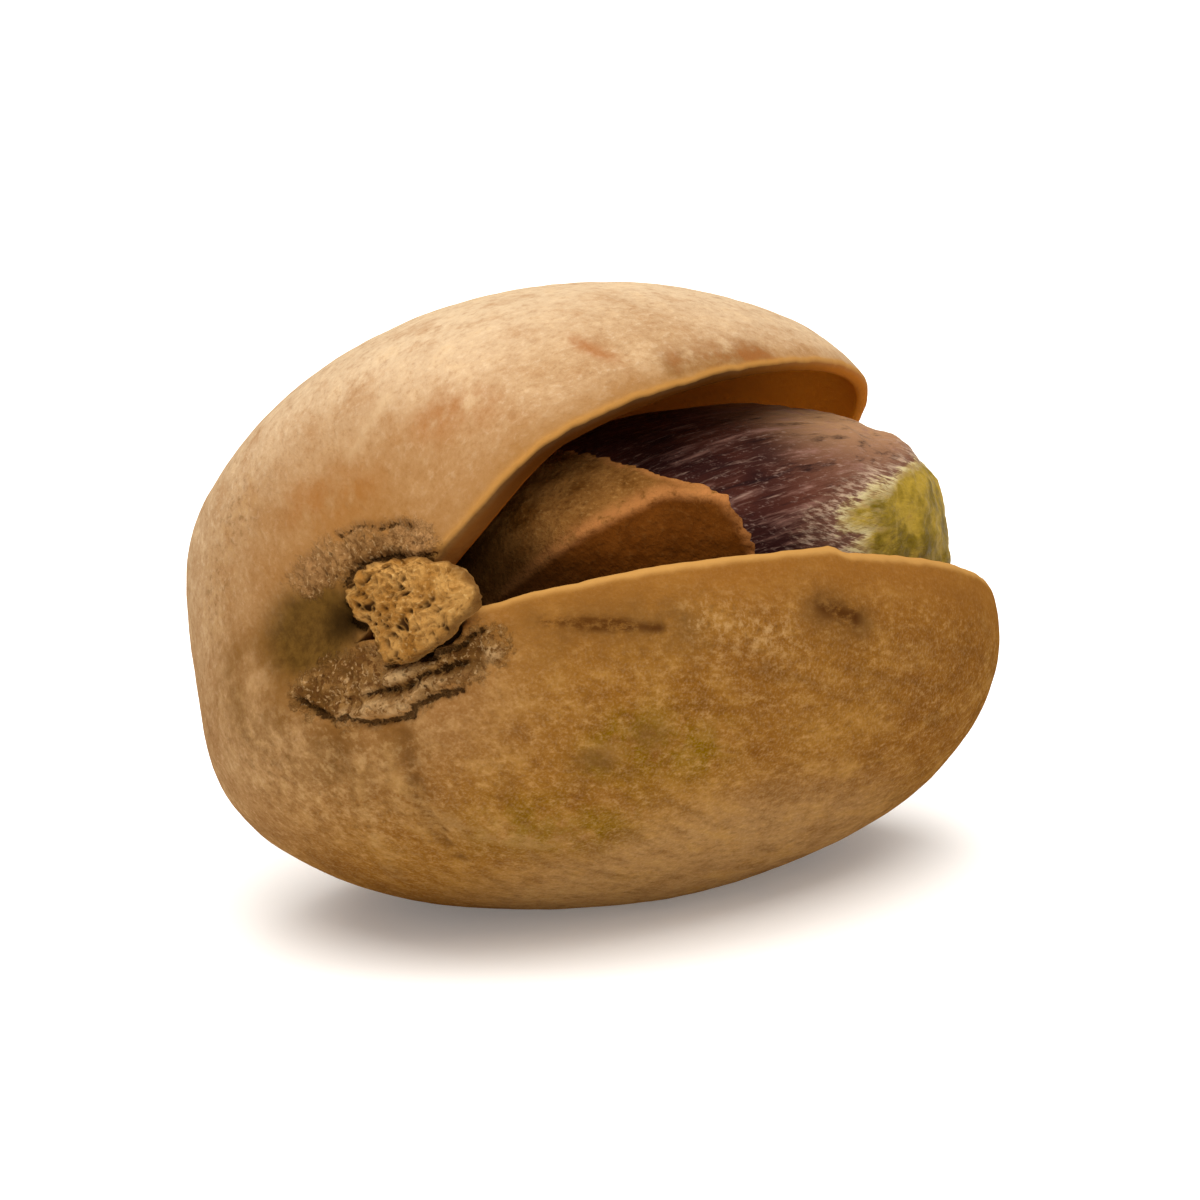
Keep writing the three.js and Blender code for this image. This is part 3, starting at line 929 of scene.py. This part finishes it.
# %% Bridge and tones
BRIDGE_START = (-16 * DEGREE, -10 * DEGREE)
BRIDGE_END = (60 * DEGREE, 75 * DEGREE)
BRIDGE_REACH = 10 * DEGREE
LIP_REACH = 0.8 * DEGREE
LIP_INNER_EDGE = (0.7, 1.0)
TIP_END = (80 * DEGREE, 140 * DEGREE)
TIP_GLOW_REACH = 40 * DEGREE
TIP_PALE = 25 * DEGREE
CROWN_RISE = (8 * DEGREE, 45 * DEGREE)
CROWN_OVER = (20 * DEGREE, 70 * DEGREE)
KEEL_RISE = (46 * DEGREE, 68 * DEGREE)
RIM_REACH = {1: 5.5 * DEGREE, -1: 13 * DEGREE}
RIM_TIP_LOSS = {1: 0.8, -1: 0.0}
TONE_REACH = 40 * DEGREE
TONE_JOINED = (0.0, 0.6)


def bridge_at(seam):
    """1 where crust has grown across the seam, from the plug to the joined stretch, and 0 elsewhere."""
    return soft_step(seam, *BRIDGE_START) * (1 - soft_step(seam, *BRIDGE_END))


def parted_at(seam):
    """1 where the halves lie apart, falling to 0 where they are joined or bridged."""
    return (1 - joined_at(seam)) * (1 - bridge_at(seam))


def shell_tones(side, seam, lift, depth):
    """How much of each tone is at each point of one half: a bell curve e^-(lift / reach)^2 along the rims,
    and soft steps of the lift or of the angle along the seam for the others."""
    joined, parted, outside = joined_at(seam), parted_at(seam), 1 - depth
    tipward = soft_step(np.abs(seam), *TIP_END)
    crown = soft_step(lift + TIP_PALE * tipward, *CROWN_RISE)
    crown = crown * (1 - joined * (1 - soft_step(lift, *CROWN_OVER)))
    rim = parted * outside * np.exp(-((lift / RIM_REACH[side]) ** 2))
    half_tone = blend(1.0, soft_step(lift, 0, TONE_REACH), soft_step(joined, *TONE_JOINED))
    return {
        "lower_half": 0.5 - 0.5 * side * half_tone,
        "inside": depth + 0 * seam,
        "lip": parted * np.exp(-((lift / LIP_REACH) ** 2)) * (1 - soft_step(depth, *LIP_INNER_EDGE)),
        "tip_end": tipward * (1 - soft_step(lift, 0, TIP_GLOW_REACH)),
        "crown": outside * float(side > 0) * crown,
        "keel": outside * float(side < 0) * soft_step(lift, *KEEL_RISE) + 0 * seam,
        "rim": rim * (1 - RIM_TIP_LOSS[side] * tipward),
    }


print("crust bridges", int(np.sum(bridge_at(SEAM_ANGLES) == 1)), "of", SEAM_COLUMNS, "columns")

# %% [markdown]
# The two halves are one piece, as on the real nut. Over the joined stretch and the bridge their lips are
# left out, so that the outer and the inner faces run on from one half to the other.

# %% Shell piece
WAVES = ((0.07, (5.0, 3.2, 3.2), 21, 1), (0.02, 1.1, 22, 3))
FOLD_DEPTH = 0.09
RIDGE_HEIGHT = 0.05
NICK_HEIGHT = 0.05
NICK_SIZE = 0.8
NICK_REACH = 4 * DEGREE
LIP_ROUND = 0.16
RIM_BUMP_SEAM = -91 * DEGREE
RIM_BUMP_SPAN = 9 * DEGREE
RIM_BUMP_START = (-0.3, 0.1)
RIM_BUMP_HEIGHT = 0.16


def half_shell(side):
    """One half's points and fields. The bridge first draws the two rims half way to each other. To the
    smooth wall are then added the scar's relief, broad waves, folds and ridges, small nicks along the free
    lip and a bump on the lower rim. Last, what would sink into the floor is lifted to the flat spot."""
    seam = SEAM_ANGLES[None, :]
    lift, depth, roundness = profile_rows()
    closed, points = shell_points(seam, lift, side, depth)
    outside = 1 - depth
    way_over = shell_points(seam, 0.0, -side, depth)[1] - shell_points(seam, 0.0, side, depth)[1]
    bridge = bridge_at(seam) * (1 - soft_step(lift, 0, BRIDGE_REACH)) / 2
    points = points + way_over * bridge[..., None]

    scar = scar_fields(points)
    folds = strokes(points, FOLDS)
    ridges = strokes(points, RIDGES)
    height = scar["height"] + relief(points, WAVES) + RIDGE_HEIGHT * ridges - FOLD_DEPTH * folds
    points = points + shell_direction(seam, lift, side) * (outside * height)[..., None]
    nicks = np.exp(-((lift / NICK_REACH) ** 2)) * NICK_HEIGHT * layered_noise(closed, NICK_SIZE, seed=23)
    points[..., 2] += side * parted_at(seam) * (outside * nicks - LIP_ROUND * roundness)
    if side < 0:
        beyond = (seam - RIM_BUMP_SEAM) / RIM_BUMP_SPAN
        bump = soft_step(beyond, *RIM_BUMP_START) * np.exp(-np.maximum(beyond, 0) ** 2)
        points[..., 2] += RIM_BUMP_HEIGHT * bump * (1 - soft_step(lift, 0, RIM_BUMP_SPAN))
    points = points + NUT_UP * np.maximum(FLAT_HEIGHT - points @ NUT_UP, 0)[..., None]

    fields = {"grain": closed, "fold": outside * folds, "ridge": outside * ridges, "shade": scar["shade"]}
    fields.update(shell_tones(side, seam, lift, depth))
    fields.update({name: scar[name] + FAR_OFF * depth for name in ("crust_gap", "crack_gap")})
    fields.update({name: outside * scar[name] for name in ("pit", "dish", "crest", "halo", "golden")})
    fields.update({name: outside * strokes(points, marks) for name, marks in STAINS.items()})
    return points, fields


def shell_piece():
    """Both halves as one closed piece. Where the halves are one, the lip's triangles are left out."""
    cells = grid_triangles(SHELL_ROWS, SEAM_COLUMNS).reshape(SHELL_ROWS - 1, SEAM_COLUMNS, 2, 3)
    whole = (joined_at(SEAM_ANGLES) == 1) | (bridge_at(SEAM_ANGLES) == 1)
    skipped = np.zeros((SHELL_ROWS - 1, SEAM_COLUMNS), bool)
    skipped[OUTER_ROWS - 1:OUTER_ROWS + LIP_ROWS, whole & np.roll(whole, -1)] = True
    cells = cells[~skipped].reshape(-1, 3)
    triangles = np.concatenate([cells, cells[:, ::-1] + SHELL_ROWS * SEAM_COLUMNS])
    upper, upper_fields = half_shell(1)
    lower, lower_fields = half_shell(-1)
    fields = {name: np.stack([values, lower_fields[name]]) for name, values in upper_fields.items()}
    make_piece("shell", np.stack([upper, lower]), triangles, fields, shell_material)


shell_piece()

# %% [markdown]
# ## The kernel
#
# The seed wears a thin purple-brown coat that dried into long wrinkles, and its tip is bare and
# yellow-green. A plain ellipsoid with a bump would look like plastic, so the wrinkles are in the surface:
# noise that is stretched along the kernel, and crinkles at the tip.

# %% Kernel shape
KERNEL_HALF_SIZE = np.array([8.7, 4.85, 4.3])
KERNEL_CENTRE = np.array([1.15, -0.5, 1.5])
KERNEL_TILT = 10.4 * DEGREE
KERNEL_YAW = 4.2 * DEGREE
KERNEL_TAPER = 0.1
KERNEL_FULLNESS = 0.08
KERNEL_GROOVES = 5
KERNEL_GROOVE_DEPTH = 0.08
WRINKLES = ((0.09, (5.0, 0.9, 0.9), 31, 1), (0.04, (2.5, 0.35, 0.35), 32, 1))
CRINKLES = ((0.14, (1.6, 0.9, 0.9), 33, 1), (0.05, 0.45, 34, 3))
CRINKLED_TIP = (0.2, 0.6)
KERNEL_COLUMNS = 320
KERNEL_ROWS = 220
BARE_FROM = 0.17
BARE_FROM_TOP = 1.0
BARE_TURN = (63 * DEGREE, 98 * DEGREE)
LIT_TOP_TURN = (45 * DEGREE, 88 * DEGREE)


def kernel_points(turn, along, offset):
    """The kernel's ovoid in its own frame, or a layer at an offset outside it. turn is the angle from the
    top towards the near side, and along runs from -1 at the stem end to 1 at the tip."""
    radius = np.sqrt(np.maximum(0, 1 - along**2))
    direction = np.stack([along + 0 * turn, -radius * np.sin(turn), radius * np.cos(turn)], axis=-1)
    return ovoid(direction, KERNEL_HALF_SIZE + np.asarray(offset)[..., None], KERNEL_TAPER, KERNEL_FULLNESS)


def seed_to_nut(points):
    """From the kernel's own frame to the nut's: a tilt of the tip upwards and a turn to the near side."""
    return turned(turned(points, Y_AXIS, -KERNEL_TILT), Z_AXIS, -KERNEL_YAW) + KERNEL_CENTRE


def kernel_piece(finish):
    """A grid round the kernel and along it, closed at both poles, with the wrinkles added outwards."""
    turn = np.linspace(0, 2 * np.pi, KERNEL_COLUMNS, endpoint=False)[None, :]
    along = -np.cos(np.linspace(0, np.pi, KERNEL_ROWS))[:, None]
    radius = np.sqrt(np.maximum(0, 1 - along**2))
    plain = kernel_points(turn, along, 0.0)
    groove = KERNEL_GROOVE_DEPTH * radius * np.cos(KERNEL_GROOVES * turn)
    tip = soft_step(along, *CRINKLED_TIP)
    height = groove + blend(relief(plain, WRINKLES), relief(plain, CRINKLES), tip)
    from_top = np.minimum(turn, 2 * np.pi - turn)
    fields = {
        "grain": plain,
        "bare": along - blend(BARE_FROM_TOP, BARE_FROM, soft_step(from_top, *BARE_TURN)),
        "tipward": along + 0 * turn,
        "topward": 1 - soft_step(from_top, *LIT_TOP_TURN) + 0 * along,
    }
    points = seed_to_nut(kernel_points(turn, along, height))
    make_piece("kernel", points, grid_triangles(KERNEL_ROWS, KERNEL_COLUMNS), fields, finish)


print("kernel, mm:", 2 * KERNEL_HALF_SIZE)

# %% [markdown]
# The coat's colour changes along the kernel: dark purple with pale hairs, kept darkest over the stem half as
# painted shade under the upper half of the shell and painted paler on the top near the tip as painted light,
# a whitish pink collar where it has drawn back, and the green of the bare tip. The `bare` attribute carries
# the change, and noise makes its edge uneven.

# %% Kernel finish
def kernel_finish():
    """Purple coat with streaks along the grain, darker over the stem half as painted shade and paler on the
    top near the tip as painted light, a pale collar and a green tip.
    """
    finish = Finish("kernel_coat", gloss=0.02)
    streak = finish.clouds(0.32, 9.0, 5.0, 0.62)
    cloud = finish.clouds(2.2, 2.5, 3.0)
    hair = finish.clouds(0.10, 14.0, 3.0, 0.7)
    strand = finish.clouds(0.09, 9.0, 3.0, 0.7, (0.15, 0.30, 0.30))
    flesh = finish.clouds(0.8, 1.3, 5.0, 0.62)
    coat = finish.layers(
        (48, 21, 19),
        ((88, 46, 34), cloud, 0.35, 0.65, 1.0),
        # Painted shade and light: the coat stays dark over the stem half, under the upper half of the shell,
        # and is painted paler towards the tip, most on the top.
        ((150, 106, 84), "tipward", -0.10, 0.75, 0.80),
        ((196, 150, 106), "tipward", 0.05, 0.50, 0.85, "topward"),
        ((160, 118, 104), streak, 0.50, 0.72, 0.75),
        ((30, 14, 16), streak, 0.46, 0.28, 0.80),
        ((190, 156, 138), hair, 0.56, 0.76, 0.50),
        ((184, 152, 138), strand, 0.56, 0.76, 0.40),
    )
    green = finish.layers(
        (116, 94, 14),
        ((186, 154, 58), flesh, 0.34, 0.66, 1.0),
        ((150, 104, 52), flesh, 0.62, 0.78, 0.50),
    )
    cream = finish.layers((176, 146, 92), ((226, 208, 156), strand, 0.40, 0.62, 1.0))
    collar = finish.layers((120, 80, 62), ((196, 166, 140), strand, 0.42, 0.62, 1.0))

    bare = finish.plus("bare", finish.span(streak, 0.25, 0.75, -0.07, 0.07))
    bare = finish.plus(bare, finish.span(cloud, 0.25, 0.75, -0.07, 0.07))
    bare = finish.plus(bare, finish.span(strand, 0.30, 0.70, -0.05, 0.05))
    base = finish.layers(
        coat,
        (collar, bare, -0.30, -0.02, 0.90),
        (cream, bare, -0.06, 0.05, 1.0),
        (green, bare, 0.02, 0.20, 1.0),
    )
    rough = finish.span(streak, 0.3, 0.7, 0.42, 0.62)
    return finish.done(base, rough, finish.plus(streak, finish.times(hair, 0.6)), 0.06)


kernel_piece(kernel_finish())

# %% [markdown]
# ## The loose skin
#
# A flap of papery brown skin has come away from the stem half of the kernel. It stands off in a fold and
# ends in a torn edge. Cloth simulation could crumple a sheet, but the flap is stiff and its fold is known,
# so it is a layer over the kernel's formula: an offset with a tent-shaped crest, and a ragged end.

# %% Skin shape
SKIN_OUTER = 0.8
SKIN_THICKNESS = 0.24
SKIN_TOP_EDGE = 36 * DEGREE
SKIN_LOW_EDGE = 122 * DEGREE
SKIN_STEM_EDGE = -0.9
# The torn edge: the turn in degrees, and how far along the kernel the skin reaches there.
SKIN_TORN_EDGE = (
    (36, -0.52), (47.5, -0.51), (61, -0.475), (71, -0.43), (73, -0.41), (78, -0.35),
    (82.5, -0.32), (87, -0.305), (91, -0.285), (95.5, -0.275), (122, -0.29),
)
SKIN_RAGS = 0.019
SKIN_RAG_SIZE = 0.4
SKIN_RAG_RADIUS = 9
SKIN_CRUMPLE = ((0.06, 1.5, 42, 1), (0.03, 0.4, 43, 3))
SKIN_CREST_TURNS = (75.5 * DEGREE, 82.5 * DEGREE)
SKIN_CREST_BEND = (-0.48, -0.30)
SKIN_CREST_WIDTH = 36 * DEGREE
SKIN_CREST_FALL = 20 * DEGREE
SKIN_CREST_HEIGHT = 0.8
SKIN_CREST_RISE = 0.5
SKIN_UNDER_REACH = 1.5 * DEGREE
SKIN_COLUMNS = 220
SKIN_ROWS = 130


def both_faces(values):
    """Values of one face, carried on to the other face and to the caps at the two ends."""
    both = np.concatenate([values, values[:, ::-1]], axis=1)
    return np.concatenate([both[:1], both, both[-1:]])


def skin_piece(finish):
    """Outer face, a turn at the edge and the inner face are one wrapped section, carried from the top edge
    to the low edge. The section's share runs out along the flap, round its torn end and back."""
    turn = np.linspace(SKIN_TOP_EDGE, SKIN_LOW_EDGE, SKIN_COLUMNS)[:, None]
    share = np.linspace(0, 1, SKIN_ROWS)[None, :]
    edge_line = np.concatenate([SKIN_RAG_RADIUS * turn, 0 * turn, 0 * turn], axis=1)
    rags = SKIN_RAGS * layered_noise(edge_line, SKIN_RAG_SIZE, seed=41)[:, None]
    end = np.interp(turn / DEGREE, *np.array(SKIN_TORN_EDGE).T) + rags
    along = blend(SKIN_STEM_EDGE, end, share)
    past = turn - blend(*SKIN_CREST_TURNS, soft_step(along, *SKIN_CREST_BEND))
    fold = np.clip(np.where(past < 0, 1 + past / SKIN_CREST_WIDTH, 1 - past / SKIN_CREST_FALL), 0, 1)
    crest = SKIN_CREST_HEIGHT * fold * soft_step(share, 0, SKIN_CREST_RISE)
    crumple = relief(kernel_points(turn, along, SKIN_OUTER + crest), SKIN_CRUMPLE)
    outer = kernel_points(turn, along, SKIN_OUTER + crest + crumple)
    inner = kernel_points(turn, along, SKIN_OUTER - SKIN_THICKNESS + crest + crumple)
    section = np.concatenate([outer, inner[:, ::-1]], axis=1)
    caps = 0.5 * (section[[0, -1]] + section[[0, -1]][:, ::-1])
    sheet = np.concatenate([caps[:1], section, caps[1:]])
    fields = {
        "grain": sheet,
        "torn": both_faces(share + 0 * along),
        "fold": both_faces(fold),
        "under": both_faces(soft_step(past, 0, SKIN_UNDER_REACH)),
    }
    make_piece("seed_skin", seed_to_nut(sheet), grid_triangles(*sheet.shape[:2]), fields, finish)


print("skin thickness, mm:", SKIN_THICKNESS, "crest height, mm:", SKIN_CREST_HEIGHT)

# %% [markdown]
# Dry skin is brown, painted lighter on its top facet and darker beyond the fold as painted light and shade,
# with a painted orange-brown highlight along the fold's crest, lighter wear at the torn edge, painted shade
# towards its stem end, and dark veins in its hollows.

# %% Skin finish
def skin_finish():
    """Brown ground with clouds, painted lighter on the top facet and darker beyond the crest as painted light
    and shade, dark veins, pale grit mostly on the lit facet, a painted highlight on the fold's crest, lighter
    wear along the torn edge, and painted shade towards the stem end.
    """
    finish = Finish("seed_skin_brown", gloss=0.0)
    cloud = finish.clouds(1.1, 1.4, 5.0, 0.6)
    vein = finish.clouds(0.30, 1.3, 5.0, 0.65)
    grit = finish.clouds(0.12, 1.8, 4.0, 0.7, (0.0, 0.6, 0.4))
    # Painted light and shade: the same brown is lighter on the top facet and darker beyond the crest, under
    # the fold.
    top = finish.layers((110, 66, 22), ((156, 106, 52), cloud, 0.32, 0.68, 1.0))
    below = finish.layers((86, 43, 8), ((112, 62, 18), cloud, 0.32, 0.68, 1.0))
    # Pale grit shows mostly on the lit top facet, as painted light.
    lit_facet_share = finish.span("under", 0.0, 1.0, 0.45, 0.08)
    # A painted highlight on the fold's crest, and lighter wear along the torn edge.
    wear_and_highlight = finish.plus(finish.span("fold", 0.86, 1.0, 0.0, 0.8), finish.span("torn", 0.93, 1.0, 0.0, 0.6))
    base = finish.layers(
        finish.mix("under", top, below),
        ((70, 36, 10), vein, 0.46, 0.28, 0.40),
        ((200, 148, 84), grit, 0.50, 0.74, 1.0, lit_facet_share),
        ((84, 46, 14), grit, 0.48, 0.30, 0.45),
        ((192, 126, 70), vein, 0.30, 0.55, 1.0, wear_and_highlight),
        # Painted shade: the flap darkens towards its stem end, in the corner of the gape.
        ((44, 24, 8), "torn", 0.52, 0.10, 0.85),
    )
    rough = finish.span(cloud, 0.3, 0.7, 0.55, 0.72)
    return finish.done(base, rough, finish.plus(vein, grit), 0.09)


skin_piece(skin_finish())

# %% [markdown]
# ## The stem plug
#
# In the scar sits what is left of the stalk: a cake of corky fibres, matted like felt. Fibres could be
# hundreds of thin strands, but on a cake of three millimetres they show as wormy ridges. So it is a low
# mound with the scar's own outline, pushed in along folded noise, which leaves ridges where noise is zero.

# %% Plug shape
PLUG_DROP = 0.03
PLUG_DOME = 0.34
PLUG_SINK = 0.14
PLUG_BACK = 0.95
PLUG_BACK_SMOOTH = (0.1, 0.4)
PLUG_COLUMNS = 300
PLUG_FACE_ROWS = 120
PLUG_BACK_ROWS = 30
PLUG_LUMPS = ((0.12, 0.9, 56, 1),)
PLUG_FRAY = 0.10
PLUG_FRAY_SIZE = 0.5
SWIRL = 0.16
SWIRL_SIZE = 0.5
FIBRE_SHARPNESS = 1.8
FIBRE_SIZE = 0.28
FIBRE_HEIGHT = 0.085
FIBRE_TONE = 0.6
THREAD_SIZE = 0.15
THREAD_HEIGHT = 0.045
THREAD_TONE = 0.4
WORN_SHARE = 0.6
WORN_SLANT = 0.4
WORN_TONE = 0.3


def wormy(points, size, seed):
    """Ridges of a size: 1 where noise is zero, falling with its amount to -1 beside them."""
    return 1 - 2 * np.minimum(1, FIBRE_SHARPNESS * np.abs(noise(points, size, seed)))


def plug_piece(finish):
    """A mound over the outline. On the face the height is the dome times the root of 1 - share^4; behind it
    the back falls as the root of 1 - share^2. Ridges of two sizes are added outwards, weaker at the near
    end, where the fibres are rubbed smooth."""
    turn = np.linspace(-180, 180, PLUG_COLUMNS, endpoint=False)[None, :]
    radius = plug_radius(turn)
    face = np.linspace(0, 1, PLUG_FACE_ROWS)[:, None]
    back = np.linspace(1, 0, PLUG_BACK_ROWS)[1:, None]
    share = np.concatenate([face, back])
    height = np.concatenate([PLUG_DOME * np.sqrt(1 - face**4), -PLUG_BACK * np.sqrt(1 - back**2)])
    along = share * radius * np.cos(turn * DEGREE)
    across = share * radius * np.sin(turn * DEGREE)
    plain = np.stack([along, across, height + 0 * along], axis=-1)

    swirl = plain + SWIRL * np.stack([noise(plain, SWIRL_SIZE, seed=51 + k) for k in range(3)], axis=-1)
    fibres = wormy(swirl, FIBRE_SIZE, seed=54)
    threads = wormy(swirl, THREAD_SIZE, seed=55)
    matted = 1 - WORN_SHARE * soft_step(along + WORN_SLANT * across, 0.0, 1.0)
    felt = matted * (FIBRE_HEIGHT * fibres + THREAD_HEIGHT * threads) + relief(plain, PLUG_LUMPS)
    out = height + felt * (1 - soft_step(-height, *PLUG_BACK_SMOOTH)) - PLUG_SINK
    frayed = 1 + PLUG_FRAY * layered_noise(plain, PLUG_FRAY_SIZE, seed=57)
    place = PLUG_MIDDLE[0] + along * frayed, PLUG_MIDDLE[1] - PLUG_DROP + across * frayed, out
    axes = SCAR_ALONG, Z_AXIS, SCAR_OUT
    points = SCAR_POINT + sum(value[..., None] * axis for value, axis in zip(place, axes))
    fields = {
        "grain": plain,
        "thread": matted * (FIBRE_TONE * fibres + THREAD_TONE * threads) + WORN_TONE * (1 - matted),
        "edge": share + 0 * along,
    }
    make_piece("stem_plug", points, grid_triangles(len(share), PLUG_COLUMNS), fields, finish)


print("plug's dome and back, mm:", PLUG_DOME, PLUG_BACK)

# %% Plug finish
def plug_finish():
    """Golden tan on the ridges of the fibres, dark brown between them, and darker towards the edge."""
    finish = Finish("stem_plug_cork", gloss=0.05)
    cloud = finish.clouds(0.5, 1, 4.0, 0.6)
    fine = finish.clouds(0.10, 1, 4.0, 0.65)
    fibre = finish.layers(
        (158, 106, 42),
        ((196, 146, 78), cloud, 0.35, 0.65, 1.0),
        ((226, 184, 118), fine, 0.55, 0.72, 0.60),
        ((106, 66, 24), fine, 0.47, 0.30, 0.60),
    )
    base = finish.layers(
        (70, 42, 15),
        (fibre, "thread", -0.80, 0.10, 1.0),
        ((92, 56, 20), "edge", 0.88, 1.0, 0.70),
    )
    return finish.done(base, 0.82, fine, 0.05)


plug_piece(plug_finish())

# %% [markdown]
# ## Floor and light
#
# A plain pale floor and soft light from a large overhead panel, with a weaker panel beside the camera.
# Small lights would give hard shadows that hide the scar. The floor has a faint glow, in place of the light
# that a white room throws back, so the shadow under the nut stays light. The plain colour transform keeps
# the tan of the shell as it is set.

# %% Floor
FLOOR_RADIUS = 1.5
FLOOR_STEPS = 96
FLOOR_COLOUR = (0.88, 0.875, 0.865, 1.0)
FLOOR_ROUGHNESS = 0.65
FLOOR_GLOW_COLOUR = (1.0, 0.975, 0.94, 1.0)
FLOOR_GLOW = 0.16


def make_floor():
    """A flat disc: one ring of points round the middle, joined to it as a fan."""
    turn = np.linspace(0, 2 * np.pi, FLOOR_STEPS, endpoint=False)
    ring = FLOOR_RADIUS * np.stack([np.cos(turn), np.sin(turn), 0 * turn], axis=-1)
    points = np.concatenate([ring, np.zeros((1, 3))])
    around = np.arange(FLOOR_STEPS)
    fan = np.stack([around, np.roll(around, -1), np.full(FLOOR_STEPS, FLOOR_STEPS)], axis=-1)
    mesh = bpy.data.meshes.new("floor")
    mesh.from_pydata(points.tolist(), [], fan.tolist())
    finish = bpy.data.materials.new("floor_white")
    finish.use_nodes = True
    shader = finish.node_tree.nodes["Principled BSDF"]
    shader.inputs["Base Color"].default_value = FLOOR_COLOUR
    shader.inputs["Roughness"].default_value = FLOOR_ROUGHNESS
    shader.inputs["Emission Color"].default_value = FLOOR_GLOW_COLOUR
    shader.inputs["Emission Strength"].default_value = FLOOR_GLOW
    mesh.materials.append(finish)
    floor = add_object("floor", mesh)


make_floor()
print("floor radius, m:", FLOOR_RADIUS)

# %% Lights
WORLD_COLOUR = (1.0, 0.965, 0.92, 1.0)
WORLD_STRENGTH = 0.36
PANEL_AIM = np.array([0.0, 0.0, 0.007])


def soft_panel(name, place, size, power, tint):
    """A square area light that faces the nut."""
    data = bpy.data.lights.new(name, "AREA")
    data.size = size
    data.energy = power
    data.color = tint
    backward = unit(np.array(place) - PANEL_AIM)
    side = unit(np.cross(Y_AXIS, backward))
    add_object(name, data).matrix_world = facing(side, np.cross(backward, side), backward, place)
    print("light:", name, "watts:", power)


soft_panel("overhead_panel", place=(-0.10, -0.04, 0.80), size=1.30, power=18.5, tint=(1.0, 0.975, 0.94))
soft_panel("fill_panel", place=(-0.45, -0.50, 0.45), size=0.60, power=2.2, tint=(1.0, 0.97, 0.93))

world = bpy.data.worlds.new("studio")
world.use_nodes = True
world.node_tree.nodes["Background"].inputs["Color"].default_value = WORLD_COLOUR
world.node_tree.nodes["Background"].inputs["Strength"].default_value = WORLD_STRENGTH
bpy.context.scene.world = world
bpy.context.scene.view_settings.view_transform = "Standard"
